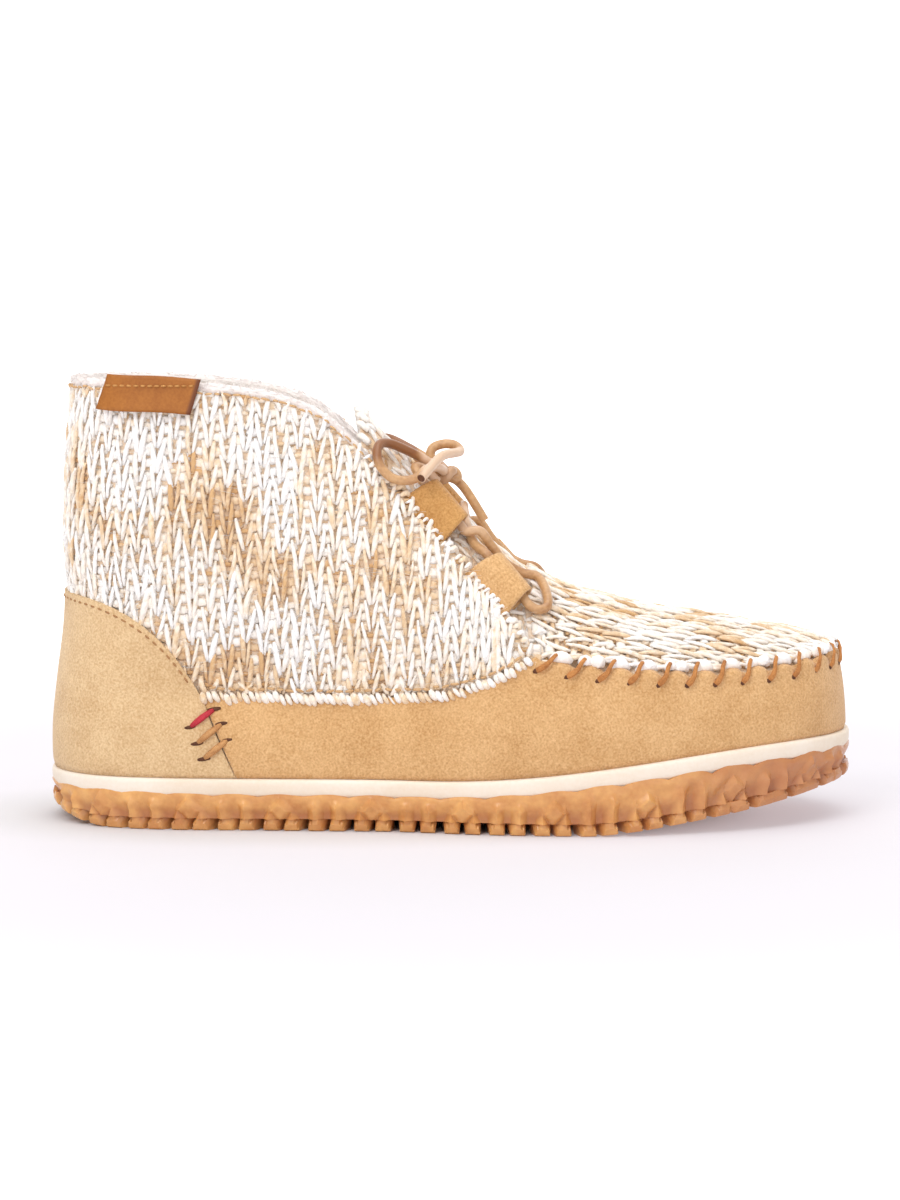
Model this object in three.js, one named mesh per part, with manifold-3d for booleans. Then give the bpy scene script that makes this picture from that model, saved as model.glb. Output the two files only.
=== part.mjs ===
// A slipper bootie for the right foot: knitted upper, suede moccasin wrap, cream midsole, gum outsole.
// Millimetres, +Z up, toe towards +X, outer side towards -Y.
// The origin is on the floor under the middle of the sole.
import * as THREE from "three";
import { mergeVertices } from "three/addons/utils/BufferGeometryUtils.js";
import Module from "manifold-3d";

const wasm = await Module();
wasm.setup();

// Driving dimensions of the last. A station is a distance forward from the back of the heel.
const LENGTH = 258;
const HEEL_RADIUS = 33;
const TOE_RADIUS = 36;
const TOE_TIP_INWARD = 6;
const SEAT_HEIGHT = 42; // top of the wrap's straight wall at the heel and the waist
const HEEL_SHAPING = 70; // the heel's own curve fades out over this length
const SHAFT_LEAN = { share: 0.6, from: 50, to: 120 }; // the shaft's middle line straightens with height
const BEHIND_HEEL = -12;
const BEYOND_TOE = LENGTH + 8;
const FAR = 90; // beyond the boot on every side

// Walls and clearances.
const GAP = 0.3;
const LAP = 1; // how far the backing runs on under the knit
const KNIT_WALL = 3.4; // knit with its fleece lining
const SUEDE = 1.5;
const SUNK = SUEDE + GAP; // how far the upper steps in behind the suede and under the quarters
const TONGUE_WALL = 2.8;
const INSOLE_WALL = 5;
const VAMP_STEP = { end: 182, length: 20 }; // where the vamp sinks in to run under the quarters

// Sole: heights of the tread and the cream band over it, and the toe spring.
const OUTSOLE_HEIGHT = 9.8;
const MIDSOLE_BAND = 6.5;
const TOE_RISE = 11.4;
const RISE_FROM = 121;
const RISE_TO = 250;
const SPRING_FROM = 172;
const SPRING = 13.4;
const SPRING_POWER = 1.3;
const HEEL_BEVEL = 5.5;
const HEEL_BEVEL_LENGTH = 20;
const LUG_DEPTH = 3.4;
const RIM = 1.2; // thickness of the tread's scalloped lip outside the band
const LIP = 1.1; // mean height of that lip over the joint
const SCALLOP = 0.7;
const SCALLOP_PITCH = 14.2;
const EDGE_LUG = { pitch: 17, length: 14, depthIn: 7, setIn: 2.2, bulge: 0.5 };
const INNER_LUG = { pitch: 23, size: 13, marginIn: 20 };
const LUG_TAPER = 0.82; // a lug's foot against its root
const LUG_BITE = 1; // how far a lug is let into the slab
const SLAB_ROOT_INSET = 1.6;
const SLAB_BELLY = { inset: 0.2, rise: 0.4 };
const BAND_EDGE = { inset: 0.3, roundFrom: 0.7, roundInset: 1.2 };

// Half widths of the sole on both sides of the straight line from heel to toe.
const OUTLINE = [
  { station: 38, lateral: 34.5, medial: 33.5 },
  { station: 100, lateral: 38.5, medial: 32.5 },
  { station: 165, lateral: 48.5, medial: 45.5 },
  { station: 190, lateral: 47.5, medial: 48.5 },
  { station: 225, lateral: 36.5, medial: 43.5 },
];

// Back of the heel from the side: where the upper's back lies at each height.
const HEEL_BACK = [
  { z: 8, station: 1.2 },
  { z: 30, station: 1.0 },
  { z: 45, station: 2.6 },
  { z: 60, station: 4.6 },
  { z: 72, station: 6.0 },
  { z: 86, station: 4.9 },
  { z: 105, station: 5.4 },
  { z: 125, station: 6.6 },
  { z: 156, station: 10 },
];

// Top line of vamp and instep from the side. Behind the collar it only shapes the shaft's width.
const RIDGE = [
  { station: 0, z: 400 },
  { station: 50, z: 260 },
  { station: 80, z: 176 },
  { station: 95, z: 143 },
  { station: 105, z: 131 },
  { station: 120, z: 115.5 },
  { station: 135, z: 100 },
  { station: 147, z: 89 },
  { station: 158, z: 80.3 },
  { station: 170, z: 74.3 },
  { station: 183, z: 69.6 },
  { station: 195, z: 67 },
  { station: 209, z: 65 },
  { station: 225, z: 62.2 },
  { station: 240, z: 59.4 },
  { station: 249, z: 57 },
  { station: 252.6, z: 54.4 },
];

// Top of the wrap's upright wall, and how square each cross section stands on it.
const SHOULDER = [
  { station: 0, z: SEAT_HEIGHT, squareness: 3 },
  { station: 60, z: SEAT_HEIGHT, squareness: 2.6 },
  { station: 110, z: 42.2, squareness: 2.1 },
  { station: 135, z: 45, squareness: 1.85 },
  { station: 150, z: 49.5, squareness: 1.6 },
  { station: 165, z: 52.2, squareness: 1.25 },
  { station: 185, z: 50.4, squareness: 1.08 },
  { station: 205, z: 49.3, squareness: 1.05 },
  { station: 230, z: 50.3, squareness: 1.05 },
  { station: 254, z: 54, squareness: 1.05 },
];

// Rings of the upright wall, from below the sole's top to the shoulder.
const WALL_RINGS = [
  { rise: -0.3, inset: 2, toe: 256.3 },
  { rise: 0, inset: 2, toe: 256.3 },
  { rise: 0.3, inset: 1.9, toe: 256.1 },
  { rise: 0.65, inset: 3, toe: 255 },
  { rise: 1, inset: 5.4, toe: 252.6 },
];

// Rings over the foot and up the shaft: height at the back and station on the top line.
const TOP_RINGS = [
  { back: 45, front: 249.5 },
  { back: 50, front: 240 },
  { back: 57, front: 222 },
  { back: 65, front: 200 },
  { back: 74, front: 182 },
  { back: 84, front: 167 },
  { back: 95, front: 153 },
  { back: 107, front: 140 },
  { back: 119, front: 127 },
  { back: 131, front: 114 },
  { back: 142, front: 103 },
  { back: 154, front: 92 },
];
const RING_STEPS = 19; // along each side of a ring

// Panel lines as they lie in the side view.
const COLLAR_EDGE = [
  { station: BEHIND_HEEL, z: 140.6 },
  { station: 23, z: 140.6 },
  { station: 51, z: 139.4 },
  { station: 66, z: 138 },
  { station: 78, z: 135.4 },
  { station: 87, z: 131.6 },
  { station: 95.5, z: 125 },
];
const FRONT_EDGE = [
  { station: 105, z: 115.6 },
  { station: 116, z: 105 },
  { station: 128, z: 91.4 },
  { station: 137, z: 81 },
  { station: 147, z: 69.5 },
  { station: 152, z: 61.5 },
  { station: 155.2, z: 55.6 },
];
const QUARTER_HEM = [
  { station: 149, z: 51 },
  { station: 138, z: 45.8 },
  { station: 126, z: 42.6 },
  { station: 112, z: 41.4 },
  { station: 51, z: 41.4 },
];
const COUNTER_EDGE = [
  { station: 47.3, z: 47.2 },
  { station: 42.7, z: 53.7 },
  { station: 35, z: 61.6 },
  { station: 28.5, z: 66.3 },
  { station: 19, z: 70.6 },
  { station: 9, z: 72.6 },
  { station: BEHIND_HEEL, z: 73 },
];
const PLUG_SEAM = [
  { station: 157.5, z: 54.4 },
  { station: 165, z: 52.6 },
  { station: 175, z: 51.2 },
  { station: 188, z: 50 },
  { station: 203, z: 49.3 },
  { station: 219, z: 49.6 },
  { station: 234, z: 50.7 },
  { station: 247, z: 53 },
  { station: BEYOND_TOE, z: 54.6 },
];
const COUNTER_FOOT_STATION = 69; // where the slanting seam between counter and wrap would meet the floor
const TONGUE_TOP = { station: 100.5, z: 133.5 };
const TONGUE_CROWN = { station: 107.5, z: 136.5 };
const TONGUE_FOOT_STATION = 168;
const TONGUE_TUCK = 8; // how far the tongue reaches under each quarter

// Label folded on the collar, and the lace with its suede tunnels.
const TAG = { rear: 22.4, front: 51, top: 142, bottom: 131, slant: 3.3, thickness: 1.4 };
const TAG_INNER_LIMIT = -5; // the label stays on the outer side
const LACE = 3;
const TUNNEL = { length: 18.5, reach: 10, wall: 1.2, bore: 4.7, low: 0.3 - KNIT_WALL };
const TUNNEL_CENTRES = { upper: { station: 122, z: 98.2 }, lower: { station: 141.6, z: 75.8 } };
const CROSSING_STATION = 134;
const CROSSING_OUT = -1.7;
const KNOT = { station: 126.8, out: 1.4, radius: 4.6 };
const LACE_STEPS = { run: 58, bow: 14, endOuter: 11, endInner: 4 };

// Smooth function through the rows of a table, straight beyond its ends.
function through(rows, from, to) {
  const xs = rows.map((row) => row[from]);
  const ys = rows.map((row) => row[to]);
  const last = xs.length - 1;
  const chord = (i) => (ys[i + 1] - ys[i]) / (xs[i + 1] - xs[i]);
  const slope = (i) => {
    if (i === 0) return chord(0);
    if (i === last) return chord(last - 1);
    const before = xs[i] - xs[i - 1];
    const after = xs[i + 1] - xs[i];
    return (chord(i - 1) * after + chord(i) * before) / (before + after);
  };
  return (x) => {
    if (x <= xs[0]) return ys[0] + (x - xs[0]) * slope(0);
    if (x >= xs[last]) return ys[last] + (x - xs[last]) * slope(last);
    const i = xs.findIndex((value) => value > x) - 1;
    const width = xs[i + 1] - xs[i];
    const t = (x - xs[i]) / width;
    const u = 1 - t;
    return (
      ys[i] * (1 + 2 * t) * u * u +
      slope(i) * width * t * u * u +
      ys[i + 1] * t * t * (3 - 2 * t) -
      slope(i + 1) * width * t * t * u
    );
  };
}

const { clamp, smoothstep, lerp } = THREE.MathUtils;

// Sole outline. A share runs from 0 at the heel to 1 at the toe. An ellipse has constant fullness.
const roundness = (share) => 2 * Math.sqrt(Math.max(0, share * (1 - share)));
const outlineRows = [
  { share: 0, fullness: Math.sqrt((HEEL_RADIUS * LENGTH) / 2), middle: 0 },
  ...OUTLINE.map((row) => ({
    share: row.station / LENGTH,
    fullness: (row.lateral + row.medial) / 2 / roundness(row.station / LENGTH),
    middle: (row.medial - row.lateral) / 2,
  })),
  { share: 1, fullness: Math.sqrt((TOE_RADIUS * LENGTH) / 2), middle: TOE_TIP_INWARD },
];
const fullness = through(outlineRows, "share", "fullness");
const middle = through(outlineRows, "share", "middle");

// Point of the sole's edge, moved in by an inset. The turn runs to the toe on the outer side and back.
function edgePoint(turn, inset) {
  const angle = turn * 2 * Math.PI;
  const share = (1 - Math.cos(angle)) / 2;
  const side = Math.sin(angle) >= 0 ? -1 : 1;
  const half = roundness(share) * (fullness(share) - inset);
  return { station: inset + (LENGTH - 2 * inset) * share, y: middle(share) + side * half };
}

// Heights of the sole's layers along the foot.
const jointHeight = (station) => OUTSOLE_HEIGHT + TOE_RISE * smoothstep(station, RISE_FROM, RISE_TO);
const midsoleTop = (station) => jointHeight(station) + MIDSOLE_BAND;
function treadHeight(station) {
  const spring = Math.max(0, (station - SPRING_FROM) / (LENGTH - SPRING_FROM));
  const bevel = Math.max(0, 1 - station / HEEL_BEVEL_LENGTH);
  return SPRING * spring ** SPRING_POWER + HEEL_BEVEL * bevel * bevel;
}

// The last: half width of the boot at a place in the side view, and the line its halves stand about.
const heelBack = through(HEEL_BACK, "z", "station");
const ridge = through(RIDGE, "station", "z");
const shoulder = through(SHOULDER, "station", "z");
const squareness = through(SHOULDER, "station", "squareness");
const shoulderRing = WALL_RINGS[WALL_RINGS.length - 1];
const shoulderBack = heelBack(SEAT_HEIGHT);

function topHalfWidth(station, z) {
  const behind = (heelBack(z) - shoulderBack) * (1 - smoothstep(station, 0, HEEL_SHAPING));
  const share = clamp((station - behind - shoulderBack) / (shoulderRing.toe - shoulderBack), 0, 1);
  const climb = clamp((z - shoulder(station)) / (ridge(station) - shoulder(station)), 0, 1);
  const base = roundness(share) * (fullness(share) - shoulderRing.inset);
  return base * Math.sqrt(1 - climb ** squareness(station));
}
const topMiddle = (station, z) =>
  middle(station / LENGTH) * (1 - SHAFT_LEAN.share * smoothstep(z, SHAFT_LEAN.from, SHAFT_LEAN.to));

// Point of a ring, by its turn round the boot.
function wallPoint(ring, turn) {
  const angle = turn * 2 * Math.PI;
  const share = (1 - Math.cos(angle)) / 2;
  const side = Math.sin(angle) >= 0 ? -1 : 1;
  const height = (station) => lerp(midsoleTop(station), shoulder(station), ring.rise);
  const rear = heelBack(height(0));
  const station = rear + (ring.toe - rear) * share;
  const half = roundness(share) * (fullness(share) - ring.inset);
  return new THREE.Vector3(station, middle(share) + side * half, height(station));
}
function topPoint(ring, turn) {
  const angle = turn * 2 * Math.PI;
  const share = (1 - Math.cos(angle)) / 2;
  const side = Math.sin(angle) >= 0 ? -1 : 1;
  const station = lerp(heelBack(ring.back), ring.front, share);
  const z = lerp(ring.back, ridge(ring.front), share);
  return new THREE.Vector3(station, topMiddle(station, z) + side * topHalfWidth(station, z), z);
}

// Solids.
function solidOf(geometry) {
  const bare = geometry.index ? geometry.toNonIndexed() : geometry.clone();
  bare.deleteAttribute("normal");
  bare.deleteAttribute("uv");
  const merged = mergeVertices(bare, 1e-4);
  const mesh = new wasm.Mesh({
    numProp: 3,
    vertProperties: new Float32Array(merged.attributes.position.array),
    triVerts: new Uint32Array(merged.index.array),
  });
  return new wasm.Manifold(mesh);
}
function geometryOf(solid) {
  const mesh = solid.getMesh();
  const geometry = new THREE.BufferGeometry();
  geometry.setAttribute("position", new THREE.BufferAttribute(mesh.vertProperties, 3));
  geometry.setIndex(new THREE.BufferAttribute(mesh.triVerts, 1));
  return geometry;
}

// Closed skin over rings of equal length. Each end is zipped across from heel to toe.
function zipEnd(ring, first, faces, upwards) {
  const count = ring.length;
  const toe = ring.reduce((best, p, i) => (p.x > ring[best].x ? i : best), 0);
  let outer = 0;
  let inner = count;
  const inX = (i) => ring[i % count].x;
  while (inner - outer > 1) {
    const stepOuter = inner <= toe || (outer < toe && inX(outer + 1) <= inX(inner - 1));
    const next = stepOuter ? outer + 1 : inner - 1;
    if (outer % count !== inner % count && next !== (stepOuter ? inner : outer)) {
      const corners = [first + (outer % count), first + next, first + (inner % count)];
      faces.push(...(upwards ? corners : corners.reverse()));
    }
    if (stepOuter) outer = next;
    else inner = next;
  }
}
function skin(rings) {
  const count = rings[0].length;
  const faces = [];
  for (let level = 0; level + 1 < rings.length; level += 1) {
    for (let i = 0; i < count; i += 1) {
      const here = level * count + i;
      const next = level * count + ((i + 1) % count);
      faces.push(here, next, next + count, here, next + count, here + count);
    }
  }
  zipEnd(rings[0], 0, faces, false);
  zipEnd(rings[rings.length - 1], (rings.length - 1) * count, faces, true);
  const geometry = new THREE.BufferGeometry().setFromPoints(rings.flat());
  geometry.setIndex(faces);
  return geometry;
}

// The boot's full form, swollen or shrunk by an offset that may depend on the station.
const turns = Array.from({ length: 2 * RING_STEPS }, (unused, i) => i / (2 * RING_STEPS));
const bootRings = [
  ...WALL_RINGS.map((ring) => turns.map((turn) => wallPoint(ring, turn))),
  ...TOP_RINGS.map((ring) => turns.map((turn) => topPoint(ring, turn))),
];
function bootForm(offset) {
  const geometry = skin(bootRings.map((ring) => ring.map((p) => p.clone())));
  geometry.computeVertexNormals();
  const place = geometry.attributes.position;
  const normal = geometry.attributes.normal;
  for (let i = 0; i < place.count; i += 1) {
    const station = place.getX(i);
    const by = typeof offset === "function" ? offset(station) : offset;
    place.setXYZ(
      i,
      station + by * normal.getX(i),
      place.getY(i) + by * normal.getY(i),
      place.getZ(i) + by * normal.getZ(i),
    );
  }
  return solidOf(geometry);
}

// Slab across the boot with an outline drawn in the side view.
function sideSlab(rows, from = -FAR, to = FAR) {
  const shape = new THREE.Shape(rows.map((row) => new THREE.Vector2(row.station, row.z)));
  const slab = new THREE.ExtrudeGeometry(shape, { depth: to - from, bevelEnabled: false, steps: 1 });
  slab.rotateX(Math.PI / 2);
  slab.translate(0, to, 0);
  return solidOf(slab);
}
const along = (from, to, count) =>
  Array.from({ length: count + 1 }, (unused, i) => lerp(from, to, i / count));
const heightLine = (height, from, to, count) =>
  along(from, to, count).map((station) => ({ station, z: height(station) }));
const shifted = (rows, dx, dz) => rows.map((row) => ({ station: row.station + dx, z: row.z + dz }));

const belowUpper = sideSlab([
  ...heightLine((s) => midsoleTop(s) + GAP, BEYOND_TOE, BEHIND_HEEL, 30),
  { station: BEHIND_HEEL, z: -FAR },
  { station: BEYOND_TOE, z: -FAR },
]);

// Panels of the side view as closed outlines.
const quarterOutline = [...COLLAR_EDGE, ...FRONT_EDGE, ...QUARTER_HEM, ...COUNTER_EDGE];
const hemCorner = FRONT_EDGE[FRONT_EDGE.length - 1];
const hemEnd = QUARTER_HEM[QUARTER_HEM.length - 1];
const plugRear = PLUG_SEAM[0].station;
const plugOutline = [...PLUG_SEAM, { station: BEYOND_TOE, z: FAR }, { station: plugRear, z: FAR }];
const wrapTop = [...[...QUARTER_HEM, ...COUNTER_EDGE].reverse(), hemCorner, ...PLUG_SEAM];
const suedeOutline = [
  ...shifted(wrapTop, 0, LAP),
  { station: BEYOND_TOE, z: -FAR },
  { station: BEHIND_HEEL, z: -FAR },
];
const openingOutline = [
  ...COLLAR_EDGE,
  ...FRONT_EDGE,
  { station: plugRear - GAP, z: hemCorner.z },
  { station: plugRear - GAP, z: 3 * FAR },
  { station: BEHIND_HEEL, z: 3 * FAR },
];

// Upper: one hollow knitted boot, stepped in behind the suede and where the vamp runs under the
// quarters.
const knitForm = bootForm(0);
const backingForm = bootForm(-SUNK);
const insideForm = bootForm(-KNIT_WALL);
const vampForm = bootForm((station) => -SUNK * smoothstep(VAMP_STEP.end - station, 0, VAMP_STEP.length));
let upper = knitForm
  .intersect(sideSlab(quarterOutline))
  .add(vampForm.intersect(sideSlab(plugOutline)))
  .add(backingForm.intersect(sideSlab(suedeOutline)))
  .subtract(insideForm)
  .subtract(sideSlab(openingOutline))
  .subtract(belowUpper);

// Suede wrap and heel counter, cut from the shell that the upper steps in for.
const suedeShell = knitForm.subtract(bootForm(-SUEDE)).subtract(belowUpper);
const wrap = suedeShell.intersect(
  sideSlab([
    { station: hemEnd.station + GAP, z: hemEnd.z - GAP },
    { station: COUNTER_FOOT_STATION + GAP, z: 0 },
    { station: BEYOND_TOE, z: 0 },
    ...shifted([...PLUG_SEAM].reverse(), 0, -GAP),
    ...shifted([hemCorner, ...QUARTER_HEM.slice(0, -1)], 0, -GAP),
  ]),
);
const counter = suedeShell.intersect(
  sideSlab([
    { station: BEHIND_HEEL, z: 0 },
    { station: COUNTER_FOOT_STATION - GAP, z: 0 },
    { station: hemEnd.station - GAP, z: hemEnd.z },
    ...shifted(COUNTER_EDGE, -GAP, -GAP),
  ]),
);

// Tongue under the quarters, and the fleece insole on the midsole.
const tongueShell = bootForm(-KNIT_WALL - GAP).subtract(bootForm(-KNIT_WALL - GAP - TONGUE_WALL));
const tongue = tongueShell.intersect(
  sideSlab([
    TONGUE_TOP,
    TONGUE_CROWN,
    { station: TONGUE_FOOT_STATION, z: TONGUE_TOP.z },
    { station: TONGUE_FOOT_STATION, z: hemCorner.z },
    ...shifted([...FRONT_EDGE].reverse(), -TONGUE_TUCK / 2, -TONGUE_TUCK),
  ]),
);
const insole = bootForm(-KNIT_WALL - GAP).intersect(
  sideSlab([
    ...heightLine((s) => midsoleTop(s) + GAP + INSOLE_WALL, LENGTH, 0, 16),
    ...heightLine((s) => midsoleTop(s) + GAP, 0, LENGTH, 16),
  ]),
);

// Midsole: a slab under the whole foot, rounded at its upper edge.
const MIDSOLE_STEPS = 52;
function soleRing(inset, height, steps) {
  return Array.from({ length: steps }, (unused, i) => {
    const point = edgePoint(i / steps, inset);
    return new THREE.Vector3(point.station, point.y, height(point.station, i / steps));
  });
}
const midsole = solidOf(
  skin([
    soleRing(RIM + GAP, (s) => jointHeight(s) + GAP, MIDSOLE_STEPS),
    soleRing(RIM + GAP, (s) => jointHeight(s) + LIP + SCALLOP, MIDSOLE_STEPS),
    soleRing(BAND_EDGE.inset, (s) => jointHeight(s) + LIP + 2 * SCALLOP, MIDSOLE_STEPS),
    soleRing(BAND_EDGE.inset, (s) => midsoleTop(s) - BAND_EDGE.roundFrom, MIDSOLE_STEPS),
    soleRing(BAND_EDGE.roundInset, midsoleTop, MIDSOLE_STEPS),
  ]),
);

// Outsole: a gum slab with a scalloped lip round the midsole, lugs along its edge and square lugs within.
const FINE_STEPS = 400;
const walked = [0];
for (let i = 0; i < FINE_STEPS; i += 1) {
  const here = edgePoint(i / FINE_STEPS, 0);
  const next = edgePoint((i + 1) / FINE_STEPS, 0);
  walked.push(walked[i] + Math.hypot(next.station - here.station, next.y - here.y));
}
const edgeLength = walked[FINE_STEPS];
const scallopCount = Math.round(edgeLength / SCALLOP_PITCH);
const lugCount = Math.round(edgeLength / EDGE_LUG.pitch);
const EDGE_STEPS = 2 * scallopCount; // a point on each hump and one in each dip

// Turn at a share of the edge's length, so that scallops and lugs are evenly spaced.
function turnAt(share) {
  const wanted = (share - Math.floor(share)) * edgeLength;
  const i = walked.findIndex((value) => value > wanted) - 1;
  return (i + (wanted - walked[i]) / (walked[i + 1] - walked[i])) / FINE_STEPS;
}
const scallop = (share) => Math.abs(Math.cos(Math.PI * scallopCount * share));
function outsoleRing(inset, bulge, height) {
  return Array.from({ length: EDGE_STEPS }, (unused, i) => {
    const share = i / EDGE_STEPS;
    const point = edgePoint(turnAt(share), inset - bulge * scallop(share));
    return new THREE.Vector3(point.station, point.y, height(point.station, share));
  });
}
const lipHeight = (station, share) => jointHeight(station) + LIP + SCALLOP * (2 * scallop(share) - 1);
const lugRoot = (station) => treadHeight(station) + LUG_DEPTH;
let outsole = solidOf(
  skin([
    outsoleRing(SLAB_ROOT_INSET, 0, lugRoot),
    outsoleRing(SLAB_BELLY.inset, EDGE_LUG.bulge, (s) => lerp(lugRoot(s), jointHeight(s), SLAB_BELLY.rise)),
    outsoleRing(0, 0, lipHeight),
    outsoleRing(RIM, 0, lipHeight),
    outsoleRing(RIM, 0, jointHeight),
  ]),
);

// Block that follows the tread: square to the edge, rooted in the slab, with a narrower foot.
function lug(station, y, heading, length, width) {
  const block = new THREE.BoxGeometry(length, width, 1);
  const place = block.attributes.position;
  for (let i = 0; i < place.count; i += 1) {
    const top = place.getZ(i) > 0;
    const taper = top ? 1 : LUG_TAPER;
    const corner = new THREE.Vector2(place.getX(i) * taper, place.getY(i) * taper);
    corner.rotateAround(new THREE.Vector2(), heading);
    const at = station + corner.x;
    place.setXYZ(i, at, y + corner.y, top ? lugRoot(at) + LUG_BITE : treadHeight(at));
  }
  return solidOf(block);
}
for (let i = 0; i < lugCount; i += 1) {
  const turn = turnAt((i + 0.5) / lugCount);
  const lugInset = EDGE_LUG.setIn + EDGE_LUG.depthIn / 2;
  const point = edgePoint(turn, lugInset);
  const ahead = edgePoint(turn + 1 / FINE_STEPS, lugInset);
  const heading = Math.atan2(ahead.y - point.y, ahead.station - point.station);
  outsole = outsole.add(lug(point.station, point.y, heading, EDGE_LUG.length, EDGE_LUG.depthIn));
}
for (let row = 1; row * INNER_LUG.pitch < LENGTH - INNER_LUG.pitch; row += 1) {
  const station = row * INNER_LUG.pitch + INNER_LUG.pitch / 2;
  const share = station / LENGTH;
  const room = roundness(share) * fullness(share) - INNER_LUG.marginIn;
  const across = Math.floor((2 * room) / INNER_LUG.pitch);
  for (let k = 0; k <= across; k += 1) {
    const y = middle(share) + (k - across / 2) * INNER_LUG.pitch;
    outsole = outsole.add(lug(station, y, Math.PI / 4, INNER_LUG.size, INNER_LUG.size));
  }
}

// Label on the outer side of the collar.
const tagShell = bootForm(GAP + TAG.thickness).subtract(bootForm(GAP));
const tag = tagShell.intersect(
  sideSlab(
    [
      { station: TAG.rear, z: TAG.top },
      { station: TAG.front, z: TAG.top },
      { station: TAG.front - TAG.slant, z: TAG.bottom },
      { station: TAG.rear - TAG.slant, z: TAG.bottom },
    ],
    -FAR,
    TAG_INNER_LIMIT,
  ),
);

// Frame on the boot's surface at a place in the side view: along the throat, over it, and out of it.
const throatSlope = new THREE.Vector3(
  TUNNEL_CENTRES.lower.station - TUNNEL_CENTRES.upper.station,
  0,
  TUNNEL_CENTRES.lower.z - TUNNEL_CENTRES.upper.z,
).normalize();
function surfacePoint(station, z, side) {
  return new THREE.Vector3(station, topMiddle(station, z) + side * topHalfWidth(station, z), z);
}
function throatFrame({ station, z }, side) {
  const step = 4;
  const origin = surfacePoint(station, z, side);
  const ahead = surfacePoint(station + step * throatSlope.x, z + step * throatSlope.z, side);
  const above = surfacePoint(station - step * throatSlope.z, z + step * throatSlope.x, side);
  const down = ahead.sub(origin).normalize();
  const up = above.sub(origin);
  const over = up.addScaledVector(down, -up.dot(down)).normalize();
  const out = new THREE.Vector3().crossVectors(over, down).multiplyScalar(side).normalize();
  return { origin, down, over, out };
}
const inFrame = (frame, down, over, out) =>
  frame.origin
    .clone()
    .addScaledVector(frame.down, down)
    .addScaledVector(frame.over, over)
    .addScaledVector(frame.out, out);

// Suede tunnel: a strap folded round the lace, lying across the throat and let into the quarter's edge.
const tunnelRound = TUNNEL.bore / 2 + TUNNEL.wall;
const tunnelMiddle = TUNNEL.low + tunnelRound;
function strapShape(rear, round) {
  const shape = new THREE.Shape();
  shape.moveTo(rear, tunnelMiddle - round);
  shape.absarc(TUNNEL.reach - tunnelRound, tunnelMiddle, round, -Math.PI / 2, Math.PI / 2, false);
  shape.lineTo(rear, tunnelMiddle + round);
  return shape;
}
function acrossThroat(shape, length, centre, side) {
  const frame = throatFrame(centre, side);
  const strap = new THREE.ExtrudeGeometry(shape, { depth: length, bevelEnabled: false, curveSegments: 3 });
  strap.translate(0, 0, -length / 2);
  const lengthways = frame.down.clone().multiplyScalar(-side);
  const place = new THREE.Matrix4().makeBasis(frame.over, frame.out, lengthways).setPosition(frame.origin);
  return solidOf(strap.applyMatrix4(place));
}
const tunnel = (centre, side) =>
  acrossThroat(strapShape(0, tunnelRound), TUNNEL.length, centre, side).subtract(
    acrossThroat(strapShape(TUNNEL.wall, TUNNEL.bore / 2), TUNNEL.length + 2, centre, side),
  );
const tunnelNotch = (centre, side) =>
  acrossThroat(strapShape(-GAP, tunnelRound + GAP), TUNNEL.length + 2 * GAP, centre, side);

const tunnels = {};
for (const [level, centre] of Object.entries(TUNNEL_CENTRES)) {
  for (const [name, side] of [["outer", -1], ["inner", 1]]) {
    tunnels[`lace_tunnel_${level}_${name}`] = tunnel(centre, side);
    upper = upper.subtract(tunnelNotch(centre, side));
  }
}

// Cord of the lace's thickness along a smooth path.
function cord(points, steps) {
  const corner = (i) => new THREE.Vector2(LACE / 2, 0).rotateAround(new THREE.Vector2(), (i * Math.PI) / 4);
  const section = new THREE.Shape([0, 1, 2, 3, 4, 5, 6, 7].map(corner));
  const extrudePath = new THREE.CatmullRomCurve3(points, false, "centripetal");
  return solidOf(new THREE.ExtrudeGeometry(section, { steps, extrudePath, bevelEnabled: false }));
}
const besideTunnel = (level, side, down, over, out) =>
  inFrame(throatFrame(TUNNEL_CENTRES[level], side), down, over, out);
const inTunnel = (level, side, down) =>
  besideTunnel(level, side, down, TUNNEL.reach - tunnelRound, tunnelMiddle);
const onThroat = (station, z, side, out) => inFrame(throatFrame({ station, z }, side), 0, 0, out);
function onRidge(station, out) {
  const slope = (ridge(station + 1) - ridge(station - 1)) / 2;
  const lift = new THREE.Vector3(-slope, 0, 1).normalize().multiplyScalar(out);
  return new THREE.Vector3(station, topMiddle(station, ridge(station)), ridge(station)).add(lift);
}

// Lace on each side: from the knot through the upper tunnel, down the tongue past the lower one, back up
// through that, and under itself to the crossing on the instep.
const knotCentre = onRidge(KNOT.station, KNOT.out);
const fromKnot = (x, y, z) => knotCentre.clone().add(new THREE.Vector3(x, y, z));
const halfRun = (side) => [
  fromKnot(-3.4, side * 6.4, -1.6),
  onThroat(121.5, 111.6, side, -0.6),
  onThroat(117.4, 112.6, side, 0.2),
  ...[-10.8, -8.5, 8.5, 10.8].map((down) => inTunnel("upper", side, down)),
  onThroat(136.4, 91.4, side, 2.4),
  onThroat(141.5, 88, side, 0.2),
  onThroat(147, 83.8, side, -1.4),
  onThroat(152.3, 80.6, side, -1.4),
  onThroat(156, 78.2, side, 0.2),
  besideTunnel("lower", side, 12.6, 13.2, 0),
  besideTunnel("lower", side, 14.6, 10.4, 0.6),
  besideTunnel("lower", side, 13.7, 7.6, 0.6),
  ...[11, 8.5, -8.5, -10.8].map((down) => inTunnel("lower", side, down)),
  onThroat(137.2, 90, side, -1.6),
  onThroat(135, 95, side, -1.6),
];
const laceRun = cord(
  [...halfRun(-1), onRidge(CROSSING_STATION, CROSSING_OUT), ...halfRun(1).reverse()],
  LACE_STEPS.run,
);

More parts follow.
